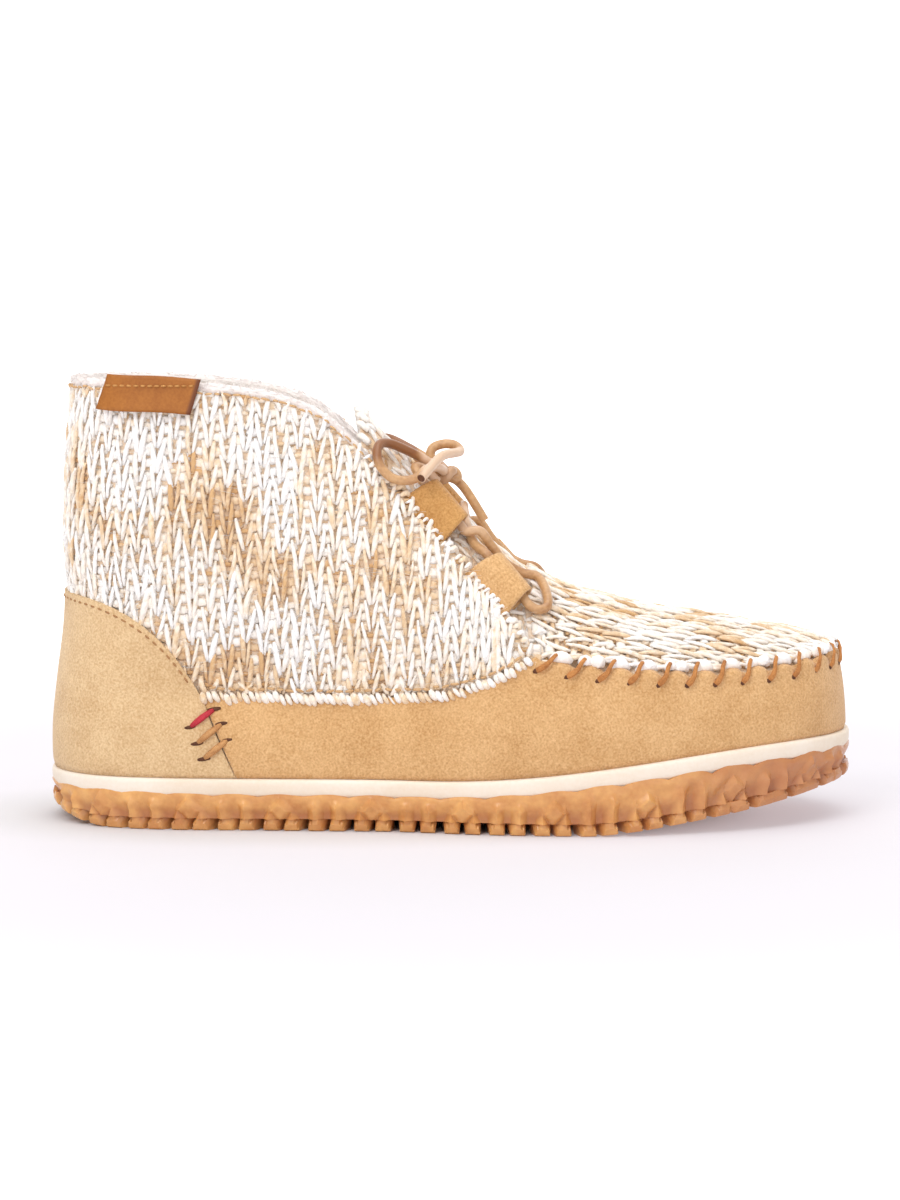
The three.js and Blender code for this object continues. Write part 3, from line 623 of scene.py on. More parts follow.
# Upper's backing: the knit's close ground with the fleece lining bonded behind it.
# One part wraps heel and both quarters, open at collar and throat. The other covers toe and vamp.
UPPER_WALL = 3.4
GROUND_DEPTH = 1.6
BACKING_WALL = UPPER_WALL - GROUND_DEPTH
BACKING_LIFT = 0.4
BACKING_DROP = 0.6
quarter_top = through(
    (-12, 140.6), (23, 140.6), (51, 139.4), (66, 138), (78, 135.4), (87, 131.6), (95.5, 125), (105, 115.6),
    (116, 105), (128, 91.4), (137, 81), (147, 69.5), (152, 61.5), (155.2, 55.6),
)
counter_edge = through(
    (-12, 73), (9, 72.6), (19, 70.6), (28.5, 66.3), (35, 61.6), (42.7, 53.7), (47.3, 47.2), (51, 41.4)
)
hem = through((51, 41.4), (112, 41.4), (126, 42.6), (138, 45.8), (149, 51), (155.2, 55.6))
plug_seam = through(
    (157.5, 55.2), (165, 53.8), (175, 52.6), (188, 51.4), (203, 50.7), (219, 50.8), (234, 51.4), (247, 52.8),
    (266, 54.2),
)
HEM_REAR = 51
HEM_CORNER = 155.2
PLUG_REAR = 157.5


def quarter_foot(station):
    """Lower edge of the knitted quarter: the counter's edge, then the hem."""
    return np.where(station < HEM_REAR, counter_edge(station), hem(station))


# A height near each panel line, from which its crossing with an angle is found.
NEAR = {quarter_top: 120.0, quarter_foot: 60.0, counter_edge: 70.0, hem: 44.0, plug_seam: 52.0}


def height_on(edge, angle):
    """Height at which a panel line crosses an angle of the last."""
    z = np.zeros_like(angle) + NEAR[edge]
    for _ in range(6):
        z = edge(station_at(angle, z))
    return z


KNIT_TONES = (tone(250, 230, 208), tone(230, 196, 158), 180.0, 900.0, 0.4)
KNIT_GROUND = finish_of("knit_ground", KNIT_TONES, (0.6, 0.0012), roughness=0.95)


def sheet(name, points, material, thickness, lining=None):
    """Piece laid on rows of points, with its wall inwards and its own finish inside where it is lined."""
    made = piece(name, grid_shape(points), material, closed=False)
    wall = made.modifiers.new("wall", "SOLIDIFY")
    wall.thickness = thickness * MM
    wall.offset = -1
    if lining is not None:
        made.data.materials.append(lining)
        wall.material_offset = 1
        wall.material_offset_rim = 1
    return made


front_angle = angle_at(HEM_CORNER - 0.4, 55.4)
quarter_angle = np.linspace(-front_angle, front_angle, 121)
quarter_rise = np.linspace(0, 1, 30)[:, None]
backing_foot = foot_line(quarter_angle) + BACKING_LIFT
backing_top = height_on(quarter_top, quarter_angle) - BACKING_DROP
quarter_height = blend(backing_foot, backing_top, quarter_rise)
quarter_points = lifted(skin, quarter_angle, quarter_height, -GROUND_DEPTH)
quarter_ground = sheet("quarter_backing", quarter_points, KNIT_GROUND, BACKING_WALL, FLEECE)
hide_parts("upper")

VAMP_DEPTH = 2.1
PLUG_SUNK = 1.8
PLUG_DIP_FRONT = 182
PLUG_DIP_LENGTH = 20


def plug_depth(station):
    """How far the plug dips to slip under the quarters' front edges."""
    return PLUG_SUNK * smooth(PLUG_DIP_FRONT - station, 0, PLUG_DIP_LENGTH)


vamp_station = np.concatenate([np.linspace(PLUG_REAR - 4, 240, 34), np.linspace(242, SHOULDER_TOE - 1.2, 8)])
vamp_across = np.sin(np.linspace(-1, 1, 33) * np.pi / 2)[:, None] * 0.985
vamp_y = middle(vamp_station / SOLE_LENGTH) + vamp_across * shoulder_half(vamp_station)
vamp_points = lifted(crown, vamp_station, vamp_y, -VAMP_DEPTH - 1.2 * plug_depth(vamp_station))
sheet("vamp_backing", vamp_points, KNIT_GROUND, BACKING_WALL, FLEECE)

toe_angle = np.linspace(front_angle - 0.05, 2 * np.pi - front_angle + 0.05, 101)
toe_rise = np.linspace(0, 1, 10)[:, None]
toe_top = shoulder(station_at(toe_angle, 40.0)) - 0.2
toe_height = blend(foot_line(toe_angle) + BACKING_LIFT, toe_top, toe_rise)
toe_points = lifted(skin, toe_angle, toe_height, -VAMP_DEPTH)
sheet("toe_backing", toe_points, KNIT_GROUND, BACKING_WALL, FLEECE)

# Knitted quarters: thick soft yarn, space-dyed in white and camel. Wales of long stitches stand up between
# ladders of flat rungs, two rungs to a stitch. The legs of each stitch open upwards.
WALE = 5.7
COURSE = 3.7
LEG = 1.28
YARN = 0.76
YARN_FLAT = 0.9
LEG_SPREAD = 0.29
LEG_DEPTH = 1.25
LEG_ARCH = 1.1
RUNG_DEPTH = 1.7
RUNG_ARCH = 0.45
RUNG_HALF = 0.4
RUNG_FLAT = 0.42
RUNG_MARGIN = 1.8
BAR_REACH = 0.6
BAR_DEPTH = 1.75
BAR_ARCH = 0.4
STRAND_STEPS = 6
STRAND_SIDES = 6
rng = np.random.default_rng(11)


def strands(name, material, slot, *batches):
    """One mesh of many short round strands.

    A batch holds paths, directions away from the piece, radii, flatness, tints and the number of sides.
    """
    points, faces, uvs, tints = [], [], [], []
    first = 0
    for paths, normals, radii, flat, tint, sides in batches:
        count, steps, _ = paths.shape
        tangent = unit(np.gradient(paths, axis=1))
        across = unit(np.cross(tangent, normals))
        up = np.cross(across, tangent)
        turn = np.linspace(0, 2 * np.pi, sides, endpoint=False)[:, None]
        ring = np.cos(turn) * across[:, :, None] + flat * np.sin(turn) * up[:, :, None]
        ring = np.asarray(radii, float)[..., None, None] * ring
        points.append((paths[:, :, None] + ring).reshape(-1, 3))
        tints.append(np.repeat(np.broadcast_to(tint, count), steps * sides))
        number = first + np.arange(count * steps * sides).reshape(count, steps, sides)
        beside = np.roll(number, -1, axis=2)
        quads = np.stack([number[:, :-1], number[:, 1:], beside[:, 1:], beside[:, :-1]], axis=-1)
        faces += quads.reshape(-1, 4).tolist()
        faces += number[:, 0].tolist()
        faces += number[:, -1, ::-1].tolist()
        gone = np.linalg.norm(np.diff(paths, axis=1), axis=-1)
        gone = np.concatenate([np.zeros((count, 1)), np.cumsum(gone, axis=1)], axis=1)
        v = np.broadcast_to(gone[:, :, None], number.shape)
        u = np.broadcast_to(np.arange(sides) / sides, number.shape)
        corner_u = np.stack([u[:, :-1], u[:, 1:], u[:, 1:] + 1 / sides, u[:, :-1] + 1 / sides], axis=-1)
        corner_v = np.stack([v[:, :-1], v[:, 1:], v[:, 1:], v[:, :-1]], axis=-1)
        uvs.append(np.stack([corner_u, corner_v], axis=-1).reshape(-1, 2))
        uvs.append(np.zeros((2 * count * sides, 2)))
        first += count * steps * sides
    mesh = bpy.data.meshes.new(name)
    mesh.from_pydata(np.concatenate(points).tolist(), [], faces)
    mesh.uv_layers.new(name="UVMap").data.foreach_set("uv", np.concatenate(uvs).astype(np.float32).ravel())
    dye = mesh.attributes.new("tint", "FLOAT", "POINT")
    dye.data.foreach_set("value", np.concatenate(tints).astype(np.float32))
    mesh.transform(LAST_TO_FRAME)
    mesh.shade_smooth()
    return placed(name, mesh, material)


def arithmetic(tree, operation, *values, **settings):
    """Result of arithmetic on values or sockets."""
    inputs = dict(enumerate(values))
    return add_node(tree, "ShaderNodeMath", inputs, operation=operation, **settings).outputs["Value"]


def yarn():
    """Soft plied yarn. The tint attribute goes from camel at 0 to white at 1."""
    material = finish_of("space_dyed_yarn", roughness=0.92, sheen_weight=0.35)
    tree = material.node_tree
    place = add_node(tree, "ShaderNodeTexCoord").outputs["Object"]
    tint = add_node(tree, "ShaderNodeAttribute", attribute_name="tint").outputs["Fac"]
    cloud = noise(tree, place, 420.0, 3.0)
    patch = add_node(tree, "ShaderNodeMapRange", {"Value": cloud, "To Min": -0.42, "To Max": 0.42})
    dye = arithmetic(tree, "ADD", tint, patch.outputs["Result"], use_clamp=True)
    colours = add_node(tree, "ShaderNodeValToRGB", {"Fac": dye})
    stops = colours.color_ramp.elements
    stops[0].color = tone(217, 174, 124)
    stops[1].color = tone(255, 252, 250)
    stops.new(0.3).color = tone(242, 216, 182)
    stops.new(0.55).color = tone(253, 242, 229)
    tree.links.new(colours.outputs["Color"], tree.nodes["Principled BSDF"].inputs["Base Color"])
    around, along, _ = axes(tree, "UV")
    around_twice = arithmetic(tree, "MULTIPLY", around, 2.0)
    twist = arithmetic(tree, "ADD", around_twice, arithmetic(tree, "MULTIPLY", along, 0.38))
    ply = arithmetic(tree, "PINGPONG", twist, 0.5)
    height = arithmetic(tree, "MULTIPLY_ADD", noise(tree, place, 1500.0, 2.0), 0.9, ply)
    bump(tree, height, 0.55, 0.0007)
    return material


YARN_FINISH = yarn()


def stitch_batches(place, tint, wale):
    """Legs, rungs and hidden bars of every long stitch. place(across, along, out) maps them to the last."""
    loose = rng.normal(0, 1, (len(tint), 10))
    batches = []

    def lay(across, along, out, radius, flat, shade, sides):
        paths = place(across, along, out)
        batches.append((paths, place(across, along, out + 0.5) - paths, radius, flat, shade, sides))

    t = np.linspace(0, 1, STRAND_STEPS)
    for side, own in [(-1, loose[:, :5]), (1, loose[:, 5:])]:
        spread = LEG_SPREAD * wale * (1 + 0.25 * own[:, :1])
        across = side * (0.4 + spread * t**0.9) + 0.3 * own[:, 1:2] * np.sin(np.pi * t)
        along = LEG * (2 * t - 1) * COURSE * (1 + 0.06 * own[:, 3:4]) + 0.4 * own[:, 2:3]
        out = -LEG_DEPTH + LEG_ARCH * np.sin(np.pi * (0.08 + 0.84 * t)) ** 0.6 + 0.18 * own[:, 3:4]
        radius = YARN * (0.66 + 0.36 * np.sin(np.pi * t)) * (1 + 0.16 * own[:, 4:5])
        lay(across, along, out, radius, YARN_FLAT, 0.16 + 0.84 * tint + 0.14 * own[:, 0], STRAND_SIDES)
    s = np.linspace(-0.5, 0.5, 5)
    arch = np.cos(np.pi * s)
    for row, own in [(-0.5, loose[:, :5]), (0.5, loose[:, 5:])]:
        across = wale / 2 + s * (wale - RUNG_MARGIN)
        along = row * COURSE + 0.35 * own[:, :1] - 0.5 * arch
        out = -RUNG_DEPTH + RUNG_ARCH * arch + 0.15 * own[:, 1:2]
        radius = RUNG_HALF * COURSE * (1 + 0.12 * own[:, 4:5])
        lay(across, along, out, radius, RUNG_FLAT, 0.2 + 0.6 * tint + 0.12 * own[:, 2], STRAND_SIDES)
        along = (row + 0.35) * COURSE + 0.3 * own[:, :1] + 0.4 * arch
        out = -BAR_DEPTH + BAR_ARCH * arch + 0.1 * own[:, 3:4]
        # The hidden bars' tint is lowered towards camel: painted shade where they lie deep under the legs.
        shade = tint - 0.36 + 0.15 * own[:, 4]
        lay(BAR_REACH * wale * s, along, out, 1.05 * YARN, YARN_FLAT, shade, 5)
    return batches


# Dye patches of the outer quarter: station, height, half width, half height, and share of white.
DYE_PATCHES = [
    (27, 128, 12, 6, 1.0), (30, 112, 10, 13, 1.0), (14, 96, 6, 8, 0.2), (52, 122, 7, 12, 0.6),
    (50, 104, 9, 9, 0.05), (76, 132, 9, 6, 0.75), (72, 113, 9, 6, 0.95), (62, 96, 6, 8, 0.25),
    (34, 90, 10, 6, 0.3), (22, 78, 10, 7, 1.0), (44, 82, 8, 6, 0.75), (70, 80, 12, 6, 0.15),
    (78, 95, 5, 8, 0.95), (94, 112, 8, 10, 0.65), (104, 98, 9, 9, 0.45), (96, 80, 9, 8, 0.55),
    (60, 66, 9, 7, 0.8), (84, 60, 7, 9, 0.95), (58, 48, 12, 5, 0.15), (100, 60, 8, 8, 0.4),
    (112, 78, 8, 8, 0.3), (118, 60, 8, 9, 0.75), (110, 46, 12, 4, 0.2), (132, 68, 8, 8, 0.75),
    (142, 58, 8, 6, 0.6), (126, 86, 6, 7, 0.6), (86, 122, 6, 8, 0.5), (6, 118, 6, 12, 0.55),
    (6, 84, 6, 8, 0.7),
]


def nearness(x, y, at_x, at_y, wide, tall):
    """1 at the middle of a soft round patch, falling off to 0 around it."""
    return np.exp(-(((x - at_x) / wide) ** 2) - ((y - at_y) / tall) ** 2)


def dyed(station, z):
    """Share of white at a place of the side view, from the patches around it."""
    weight = 0.05 + 0 * station
    white = 0.55 * weight
    for *patch, share in DYE_PATCHES:
        near = nearness(station, z, *patch)
        weight = weight + near
        white = white + near * share
    return white / weight


REFERENCE_HEIGHT = 92
LOWEST_COURSE = 43 - 2 * COURSE
HIGHEST_COURSE = 150
SHORTEST_STITCH = 2.8
UNDER_COUNTER = -1.5
OVER_HEM = 1.4
UNDER_TOP = 1.9
WALE_STAGGER = 0.37
INNER_DYE_SHIFT = (14, -5)
fine_angle = np.linspace(0, front_angle, 1200)
fine_walk = walk_along(skin(fine_angle, REFERENCE_HEIGHT))
wale_count = round(fine_walk[-1] / WALE)
wale_walk = (np.arange(wale_count) + 0.5) * fine_walk[-1] / wale_count
wale_angle = np.interp(wale_walk, fine_walk, fine_angle)
wale_speed = np.gradient(fine_walk, fine_angle)[np.searchsorted(fine_walk, wale_walk)]
course_height = np.arange(LOWEST_COURSE, HIGHEST_COURSE, 2 * COURSE)
wale_index, course_index = np.meshgrid(np.arange(wale_count), np.arange(len(course_height)))
wale_index, course_index = wale_index.ravel(), course_index.ravel()
stagger = (WALE_STAGGER * wale_index) % 1
for side, name, dye_shift in [(1, "outer", (0, 0)), (-1, "inner", INNER_DYE_SHIFT)]:
    angle = wale_angle[wale_index]
    z = course_height[course_index] + 2 * COURSE * stagger
    station = station_at(angle, z)
    lowest = quarter_foot(station) + np.where(station < HEM_REAR, UNDER_COUNTER, OVER_HEM)
    foot = np.maximum(z - LEG * COURSE, lowest)
    top = np.minimum(z + LEG * COURSE, quarter_top(station) - UNDER_TOP)
    kept = (top - foot > SHORTEST_STITCH) & (station < HEM_CORNER - 2)
    angle, z, station, foot, top = angle[kept], z[kept], station[kept], foot[kept], top[kept]
    speed = wale_speed[wale_index][kept]
    share = dyed(station + dye_shift[0], z + dye_shift[1])
    tint = np.clip(blend(0.52, share, 1.1) + rng.normal(0, 0.2, len(z)), 0, 1)

    def on_quarter(across, along, out):
        where = side * (angle[:, None] + across / speed[:, None])
        height = blend(foot[:, None], top[:, None], 0.5 + along / (2 * LEG * COURSE))
        return lifted(skin, where, height, out)

    strands(f"knit_quarter_{name}", YARN_FINISH, "knit", *stitch_batches(on_quarter, tint, WALE))

FUZZ_HAIRS = 2600
FUZZ_RADIUS = 0.07
UPWARDS = np.array([0.0, 0.0, 1.0])
hair_t = np.linspace(0, 1, 3)
fuzz_angle = rng.uniform(-front_angle, front_angle, FUZZ_HAIRS)
fuzz_foot = height_on(quarter_foot, fuzz_angle) + 1
fuzz_top = height_on(quarter_top, fuzz_angle) - 2
fuzz_z = blend(fuzz_foot, fuzz_top, rng.uniform(0, 1, FUZZ_HAIRS))
fuzz_bent = rng.normal(0, 1, (FUZZ_HAIRS, 2, 1)) * hair_t**1.5
fuzz_where = fuzz_angle[:, None] + 0.03 * fuzz_bent[:, 0]
fuzz_height = fuzz_z[:, None] + 0.9 * fuzz_bent[:, 1]
fuzz_out = rng.uniform(0.7, 1.9, (FUZZ_HAIRS, 1)) * hair_t - 0.3
fuzz_paths = lifted(skin, fuzz_where, fuzz_height, fuzz_out)
fuzz_radii = FUZZ_RADIUS * (1 - 0.5 * hair_t)
fuzz_tint = rng.uniform(0.5, 1, FUZZ_HAIRS)
strands("knit_fuzz", YARN_FINISH, "knit", (fuzz_paths, UPWARDS, fuzz_radii, 1.0, fuzz_tint, 3))

# Collar binding: the fleece lining is rolled out over the top edge, fuzzy and nearly white,
# and sewn down to the knit with one row of camel thread.
ROLL_RADIUS = 1.5
ROLL_SINK = 1.4
ROLL_END_STATION = 106
ROLL_HAIRS = 2200
ROLL_HAIR_RADIUS = 0.09
COLLAR_ROW = 2.5
STITCH_LENGTH = 2.1
STITCH_PITCH = 3.0
STITCH_JITTER = [0.002, 0.25]


def angles_along(edge, first, last, pitch):
    """Angles at even steps along a panel line, between two angles."""
    fine = np.linspace(first, last, 2500)
    walked = walk_along(skin(fine, height_on(edge, fine)))
    count = int(walked[-1] / pitch)
    return np.interp((np.arange(count) + 0.5) * walked[-1] / count, walked, fine)


def thread_finish(name, light, dark):
    """Sewing thread in two tones."""
    return finish_of(name, (light, dark, 500.0, 2500.0, 0.5), roughness=0.7)


def laid(where, z, out):
    """Paths on the last's face at a distance out, and the directions away from it."""
    paths = lifted(skin, where, z, out)
    return paths, lifted(skin, where, z, out + 0.5) - paths


def dashes(ends, out, radius, sag=0.45, flat=0.8):
    """Stitches between pairs of angle and height, each dipping into the piece at both ends."""
    t = np.linspace(0, 1, 5)
    where = blend(ends[:, 0, 0, None], ends[:, 1, 0, None], t)
    z = blend(ends[:, 0, 1, None], ends[:, 1, 1, None], t)
    arch = np.sin(np.pi * t)
    paths, normals = laid(where, z, out + sag * (arch - 1))
    return paths, normals, radius * (0.7 + 0.4 * arch), flat, 1.0, 6


def row_of_dashes(edge, first, last, drop):
    """Ends of a row of stitches that keeps its distance under a panel line."""
    row = angles_along(edge, first, last, STITCH_PITCH)
    half = STITCH_LENGTH / STITCH_PITCH / 2 * np.gradient(row)
    where = np.stack([row - half, row + half], axis=-1)
    return np.stack([where, height_on(edge, where) - drop], axis=-1)


roll_reach = angle_at(ROLL_END_STATION, quarter_top(ROLL_END_STATION))


def on_roll(angle, turn, stand=1.0):
    """Point round the roll: turn 0 faces outwards and a quarter turn faces up."""
    uneven_roll = 1 + 0.1 * np.sin(41 * angle) + 0.08 * np.sin(97 * angle + 2 * turn)
    size = ROLL_RADIUS * stand * uneven_roll * np.sqrt(smooth(roll_reach - np.abs(angle), 0, 0.09))
    z = height_on(quarter_top, angle) - 0.9 + size * np.sin(turn)
    return lifted(skin, angle, z, size * np.cos(turn) - ROLL_SINK)


ROLL_FLEECE = fleece("white_fleece", tone(250, 244, 241), tone(240, 229, 224), 0.25)
roll_angle = np.linspace(-roll_reach, roll_reach, 301)[:, None]
roll_points = on_roll(roll_angle, np.linspace(0, 2 * np.pi, 13))
piece("collar_roll", grid_shape(roll_points), ROLL_FLEECE)
hair_angle = rng.uniform(-roll_reach, roll_reach, ROLL_HAIRS)[:, None]
hair_angle = hair_angle + rng.normal(0, 0.012, (ROLL_HAIRS, 1)) * hair_t
hair_turn = rng.uniform(-0.6, 2.6, ROLL_HAIRS)[:, None] + rng.normal(0, 0.3, (ROLL_HAIRS, 1)) * hair_t
hair_paths = on_roll(hair_angle, hair_turn, 0.95 + rng.uniform(0.15, 0.55, (ROLL_HAIRS, 1)) * hair_t)
hair_normals = hair_paths - on_roll(hair_angle, hair_turn, 0.2)
hair_radii = ROLL_HAIR_RADIUS * (1 - 0.5 * hair_t)
strands("collar_fuzz", ROLL_FLEECE, "fleece", (hair_paths, hair_normals, hair_radii, 1.0, 1.0, 3))
CAMEL_THREAD = thread_finish("camel_thread", tone(220, 182, 136), tone(192, 148, 102))
collar_ends = row_of_dashes(quarter_top, -roll_reach, roll_reach, COLLAR_ROW)
collar_ends = collar_ends + rng.normal(0, STITCH_JITTER, collar_ends.shape)
strands("collar_stitches", CAMEL_THREAD, "knit", dashes(collar_ends, 0.75, 0.36))

# Edges of the quarters: along the throat the selvedge is a chain of long loops, lower where a lace tunnel
# comes out. Along the foot the knit is turned under and sewn down with one row of camel thread.
# Its hem shows as a thin rope of small knobs over the suede.
TUNNEL_SPANS = [(115.5, 128.5), (135.2, 148)]
LOOP_STEPS = 7
THROAT_LOOP = [(-3.2, -0.6), (-2.4, 0.2), (-1.4, 0.4), (-0.5, 0.1), (-0.2, -0.9), (-0.7, -1.9)]
TUNNEL_LOOP = [(rise - 1.3, out - 0.3) for rise, out in THROAT_LOOP]
HEM_LOOP = [(1.9, -0.5), (1.4, 0.6), (0.5, 1.1), (-0.4, 0.9), (-1.0, 0)]
THROAT_PITCH = 2.3
THROAT_RUN = 4.6
THROAT_YARN = 0.8
TUNNEL_YARN = 0.6
HEM_PITCH = 1.9
HEM_RUN = 2.0
HEM_YARN = 0.9
HEM_ROW = 3.1


def edge_loops(edge, angle, run, rows, radius):
    """Loops of yarn over a panel line. A row gives height over the line and distance out, from end to end."""
    rise, out = np.array(rows, float).T
    bend = np.linspace(0, 1, len(rows))
    fine = np.linspace(0, 1, LOOP_STEPS)
    rise = through(*zip(bend, rise))(fine)
    out = through(*zip(bend, out))(fine)
    speed = np.gradient(walk_along(skin(angle, height_on(edge, angle))), angle)
    loose = rng.normal(0, 1, (len(angle), 4))
    where = angle[:, None] + (run + 0.4 * loose[:, 3:]) * (fine - 0.5) / speed[:, None]
    z = height_on(edge, where) + rise
    mean_z = z.mean(axis=1)
    paths = lifted(skin, where, z + 0.35 * loose[:, :1], out + 0.25 * loose[:, 1:2])
    inside = lifted(skin, angle, mean_z, -3)[:, None]
    normals = unit(paths - inside) + 0.2 * unit(laid(where, z, out)[1])
    radii = radius * (0.7 + 0.36 * np.sin(np.pi * fine)) * (1 + 0.2 * loose[:, 2:3])
    white = dyed(station_at(angle, mean_z), mean_z)
    tint = np.clip(0.3 + 0.7 * white + rng.normal(0, 0.2, len(angle)), 0, 1)
    return paths, normals, radii, YARN_FLAT, tint, STRAND_SIDES


def both_sides(ends):
    """Ends of stitches, with the same again on the other side."""
    return np.concatenate([ends, ends * [-1, 1]])


throat_angle = angles_along(quarter_top, roll_reach - 0.03, front_angle - 0.02, THROAT_PITCH)
throat_station = station_at(throat_angle, height_on(quarter_top, throat_angle))[:, None]
tunnel_rear, tunnel_front = np.array(TUNNEL_SPANS).T
at_tunnel = np.any((throat_station > tunnel_rear) & (throat_station < tunnel_front), axis=1)
hem_rear = angle_at(HEM_REAR - 0.6, 42.0)
hem_angle = angles_along(hem, hem_rear, front_angle - 0.01, HEM_PITCH)
edge_batches = []
for side in (1, -1):
    edge_batches += [
        edge_loops(quarter_top, side * throat_angle[~at_tunnel], THROAT_RUN, THROAT_LOOP, THROAT_YARN),
        edge_loops(quarter_top, side * throat_angle[at_tunnel], THROAT_RUN, TUNNEL_LOOP, TUNNEL_YARN),
        edge_loops(hem, side * hem_angle, HEM_RUN, HEM_LOOP, HEM_YARN),
    ]
strands("knit_edges", YARN_FINISH, "knit", *edge_batches)
hem_ends = row_of_dashes(hem, hem_rear + 0.02, front_angle - 0.03, -HEM_ROW)
hem_ends = hem_ends + rng.normal(0, STITCH_JITTER, hem_ends.shape)
strands("hem_stitches", CAMEL_THREAD, "knit", dashes(both_sides(hem_ends), 0.8, 0.42))

# Tongue: the same knit on a thin pad, sewn in under the vamp and slipped under both quarters.
# Its wales run up the instep, and its top edge is bound with loops.
TONGUE_DEPTH = 3.7
TONGUE_WALL = 2.4
TONGUE_PILE = 1
TONGUE_TOP_STATION = 102.5
TONGUE_FOOT_STATION = 166
TONGUE_TUCK = 5
TONGUE_WALE = 5.9


def half_width(station, z):
    """Half width of the last at a place of the side view, in front of the heel."""
    return shoulder_half(station) * np.sqrt(1 - climbed(station, z) ** squareness(station))


def throat_half(station):
    """Half width of the throat between the quarters' edges."""
    return half_width(station, quarter_top(np.minimum(station, HEM_CORNER)))


def top_line(station):
    """The y of the instep's middle line."""
    return middle(station / SOLE_LENGTH) * lean(ridge(station))


tongue_station = np.linspace(TONGUE_TOP_STATION, TONGUE_FOOT_STATION, 40)
widest = 0.93 * half_width(tongue_station, shoulder(tongue_station))
tongue_reach = np.minimum(throat_half(tongue_station) + TONGUE_TUCK, widest)
tongue_y = top_line(tongue_station) + np.linspace(-1, 1, 25)[:, None] * tongue_reach
tongue_points = lifted(crown, tongue_station, tongue_y, -TONGUE_DEPTH - TONGUE_PILE)
tongue = sheet("tongue_pad", tongue_points, KNIT_GROUND, TONGUE_WALL - TONGUE_PILE, FLEECE)
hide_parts("tongue")


def lengthwise_field(first, last, wale_width, reach, depth, dye):
    """Stitches whose wales run along the foot: their strands, laid under the last's top by a depth."""
    rows = np.arange(first - 2 * COURSE, last + 2 * COURSE, 2 * COURSE)
    station, wale = np.meshgrid(rows, np.arange(-14, 14))
    station = (station + COURSE * (wale % 2)).ravel()
    offset = ((wale + 0.5) * wale_width).ravel()
    slope = np.gradient(ridge(np.arange(300.0)))[station.astype(int)]
    half = LEG * COURSE / np.hypot(1, slope)
    start = np.maximum(station - half, first)
    end = np.minimum(station + half, last)
    kept = (np.abs(offset) < reach(station) + 0.4 * wale_width) & (end - start > SHORTEST_STITCH)
    station, offset, start, end = station[kept], offset[kept], start[kept], end[kept]

    def place(across, along, out):
        at = blend(start[:, None], end[:, None], 0.5 + along / (2 * LEG * COURSE))
        limit = reach(at)
        y = top_line(at) + np.clip(offset[:, None] + across, -limit, limit)
        return lifted(crown, at, y, out - depth(at))

    tint = np.clip(dye(station, offset) + rng.normal(0, 0.22, len(station)), 0, 1)
    return stitch_batches(place, tint, wale_width)


def tongue_dye(station, offset):
    """Share of white on the tongue."""
    return 0.6 + 0.25 * np.sin(station / 5.3) * np.cos(offset / 4.1)


def tongue_shown(station):
    """Half width of the tongue's knit."""
    return np.minimum(throat_half(station) + 1, 38)


def tongue_depth(station):
    """How far the tongue's knit lies under the last's top."""
    return TONGUE_DEPTH + 0 * station


tongue_batches = lengthwise_field(
    TONGUE_TOP_STATION + 2, PLUG_REAR + 2, TONGUE_WALE, tongue_shown, tongue_depth, tongue_dye
)
BIND_YARN = 1.25
bind_t = np.linspace(0, 1, LOOP_STEPS)
bind_y = top_line(TONGUE_TOP_STATION) + np.linspace(-1, 1, 13) * (throat_half(TONGUE_TOP_STATION) + 3)
bind_station = TONGUE_TOP_STATION + 3.4 * np.abs(bind_t - 0.45) / 0.55 - 0.6
bind_out = -TONGUE_DEPTH + blend(0.4, -3.2, bind_t) + 0.6 * np.sin(np.pi * bind_t)
bind_paths = lifted(crown, bind_station, bind_y[:, None] + 1.2 * (bind_t - 0.5), bind_out)
bind_inside = lifted(crown, TONGUE_TOP_STATION + 4, bind_y, -TONGUE_DEPTH - 1.4)
bind_normals = unit(bind_paths - bind_inside[:, None])
bind_radii = BIND_YARN * (0.8 + 0.25 * np.sin(np.pi * bind_t))
tongue_batches.append((bind_paths, bind_normals, bind_radii, YARN_FLAT, 0.75, STRAND_SIDES))
strands("knit_tongue", YARN_FINISH, "knit", *tongue_batches)

# Plug of the vamp: knitted lengthwise in the same yarn and gathered into the suede along its edge,
# where the loops swell between the whip stitches.
PLUG_WALE = 4.8
PLUG_FRONT = 252
# Camel patches of the plug: station, distance from the middle line, half length and half width.
PLUG_CAMEL = [
    (164, -16, 5, 14), (173, -26, 6, 9), (184, -12, 4, 18), (209, -14, 4, 12), (222, -22, 5, 7),
    (233, -6, 4, 9), (176, 12, 7, 12), (198, 20, 6, 9), (217, 8, 5, 10), (240, 6, 5, 8),
]


def plug_reach(station):
    """Half width of the plug, up to the suede."""
    margin = blend(0.6, 3, smooth(station, 160, 172))
    return np.maximum(half_width(station, shoulder(station)) - margin, 0.5)


def plug_dye(station, offset):
    """Share of white on the plug, between its camel patches."""
    camel = sum(nearness(station, offset, *patch) for patch in PLUG_CAMEL)
    return 0.6 - 0.5 * np.minimum(camel, 1)


plug_batches = lengthwise_field(PLUG_REAR - 2.5, PLUG_FRONT, PLUG_WALE, plug_reach, plug_depth, plug_dye)

SEAM_PITCH = 9.2
whip_start = angle_at(158.6, 54.0)
seam_fine = np.linspace(whip_start, 2 * np.pi - whip_start, 4000)
seam_walk = walk_along(skin(seam_fine, height_on(plug_seam, seam_fine)))
whip_count = round(seam_walk[-1] / SEAM_PITCH)
seam_pitch = seam_walk[-1] / whip_count
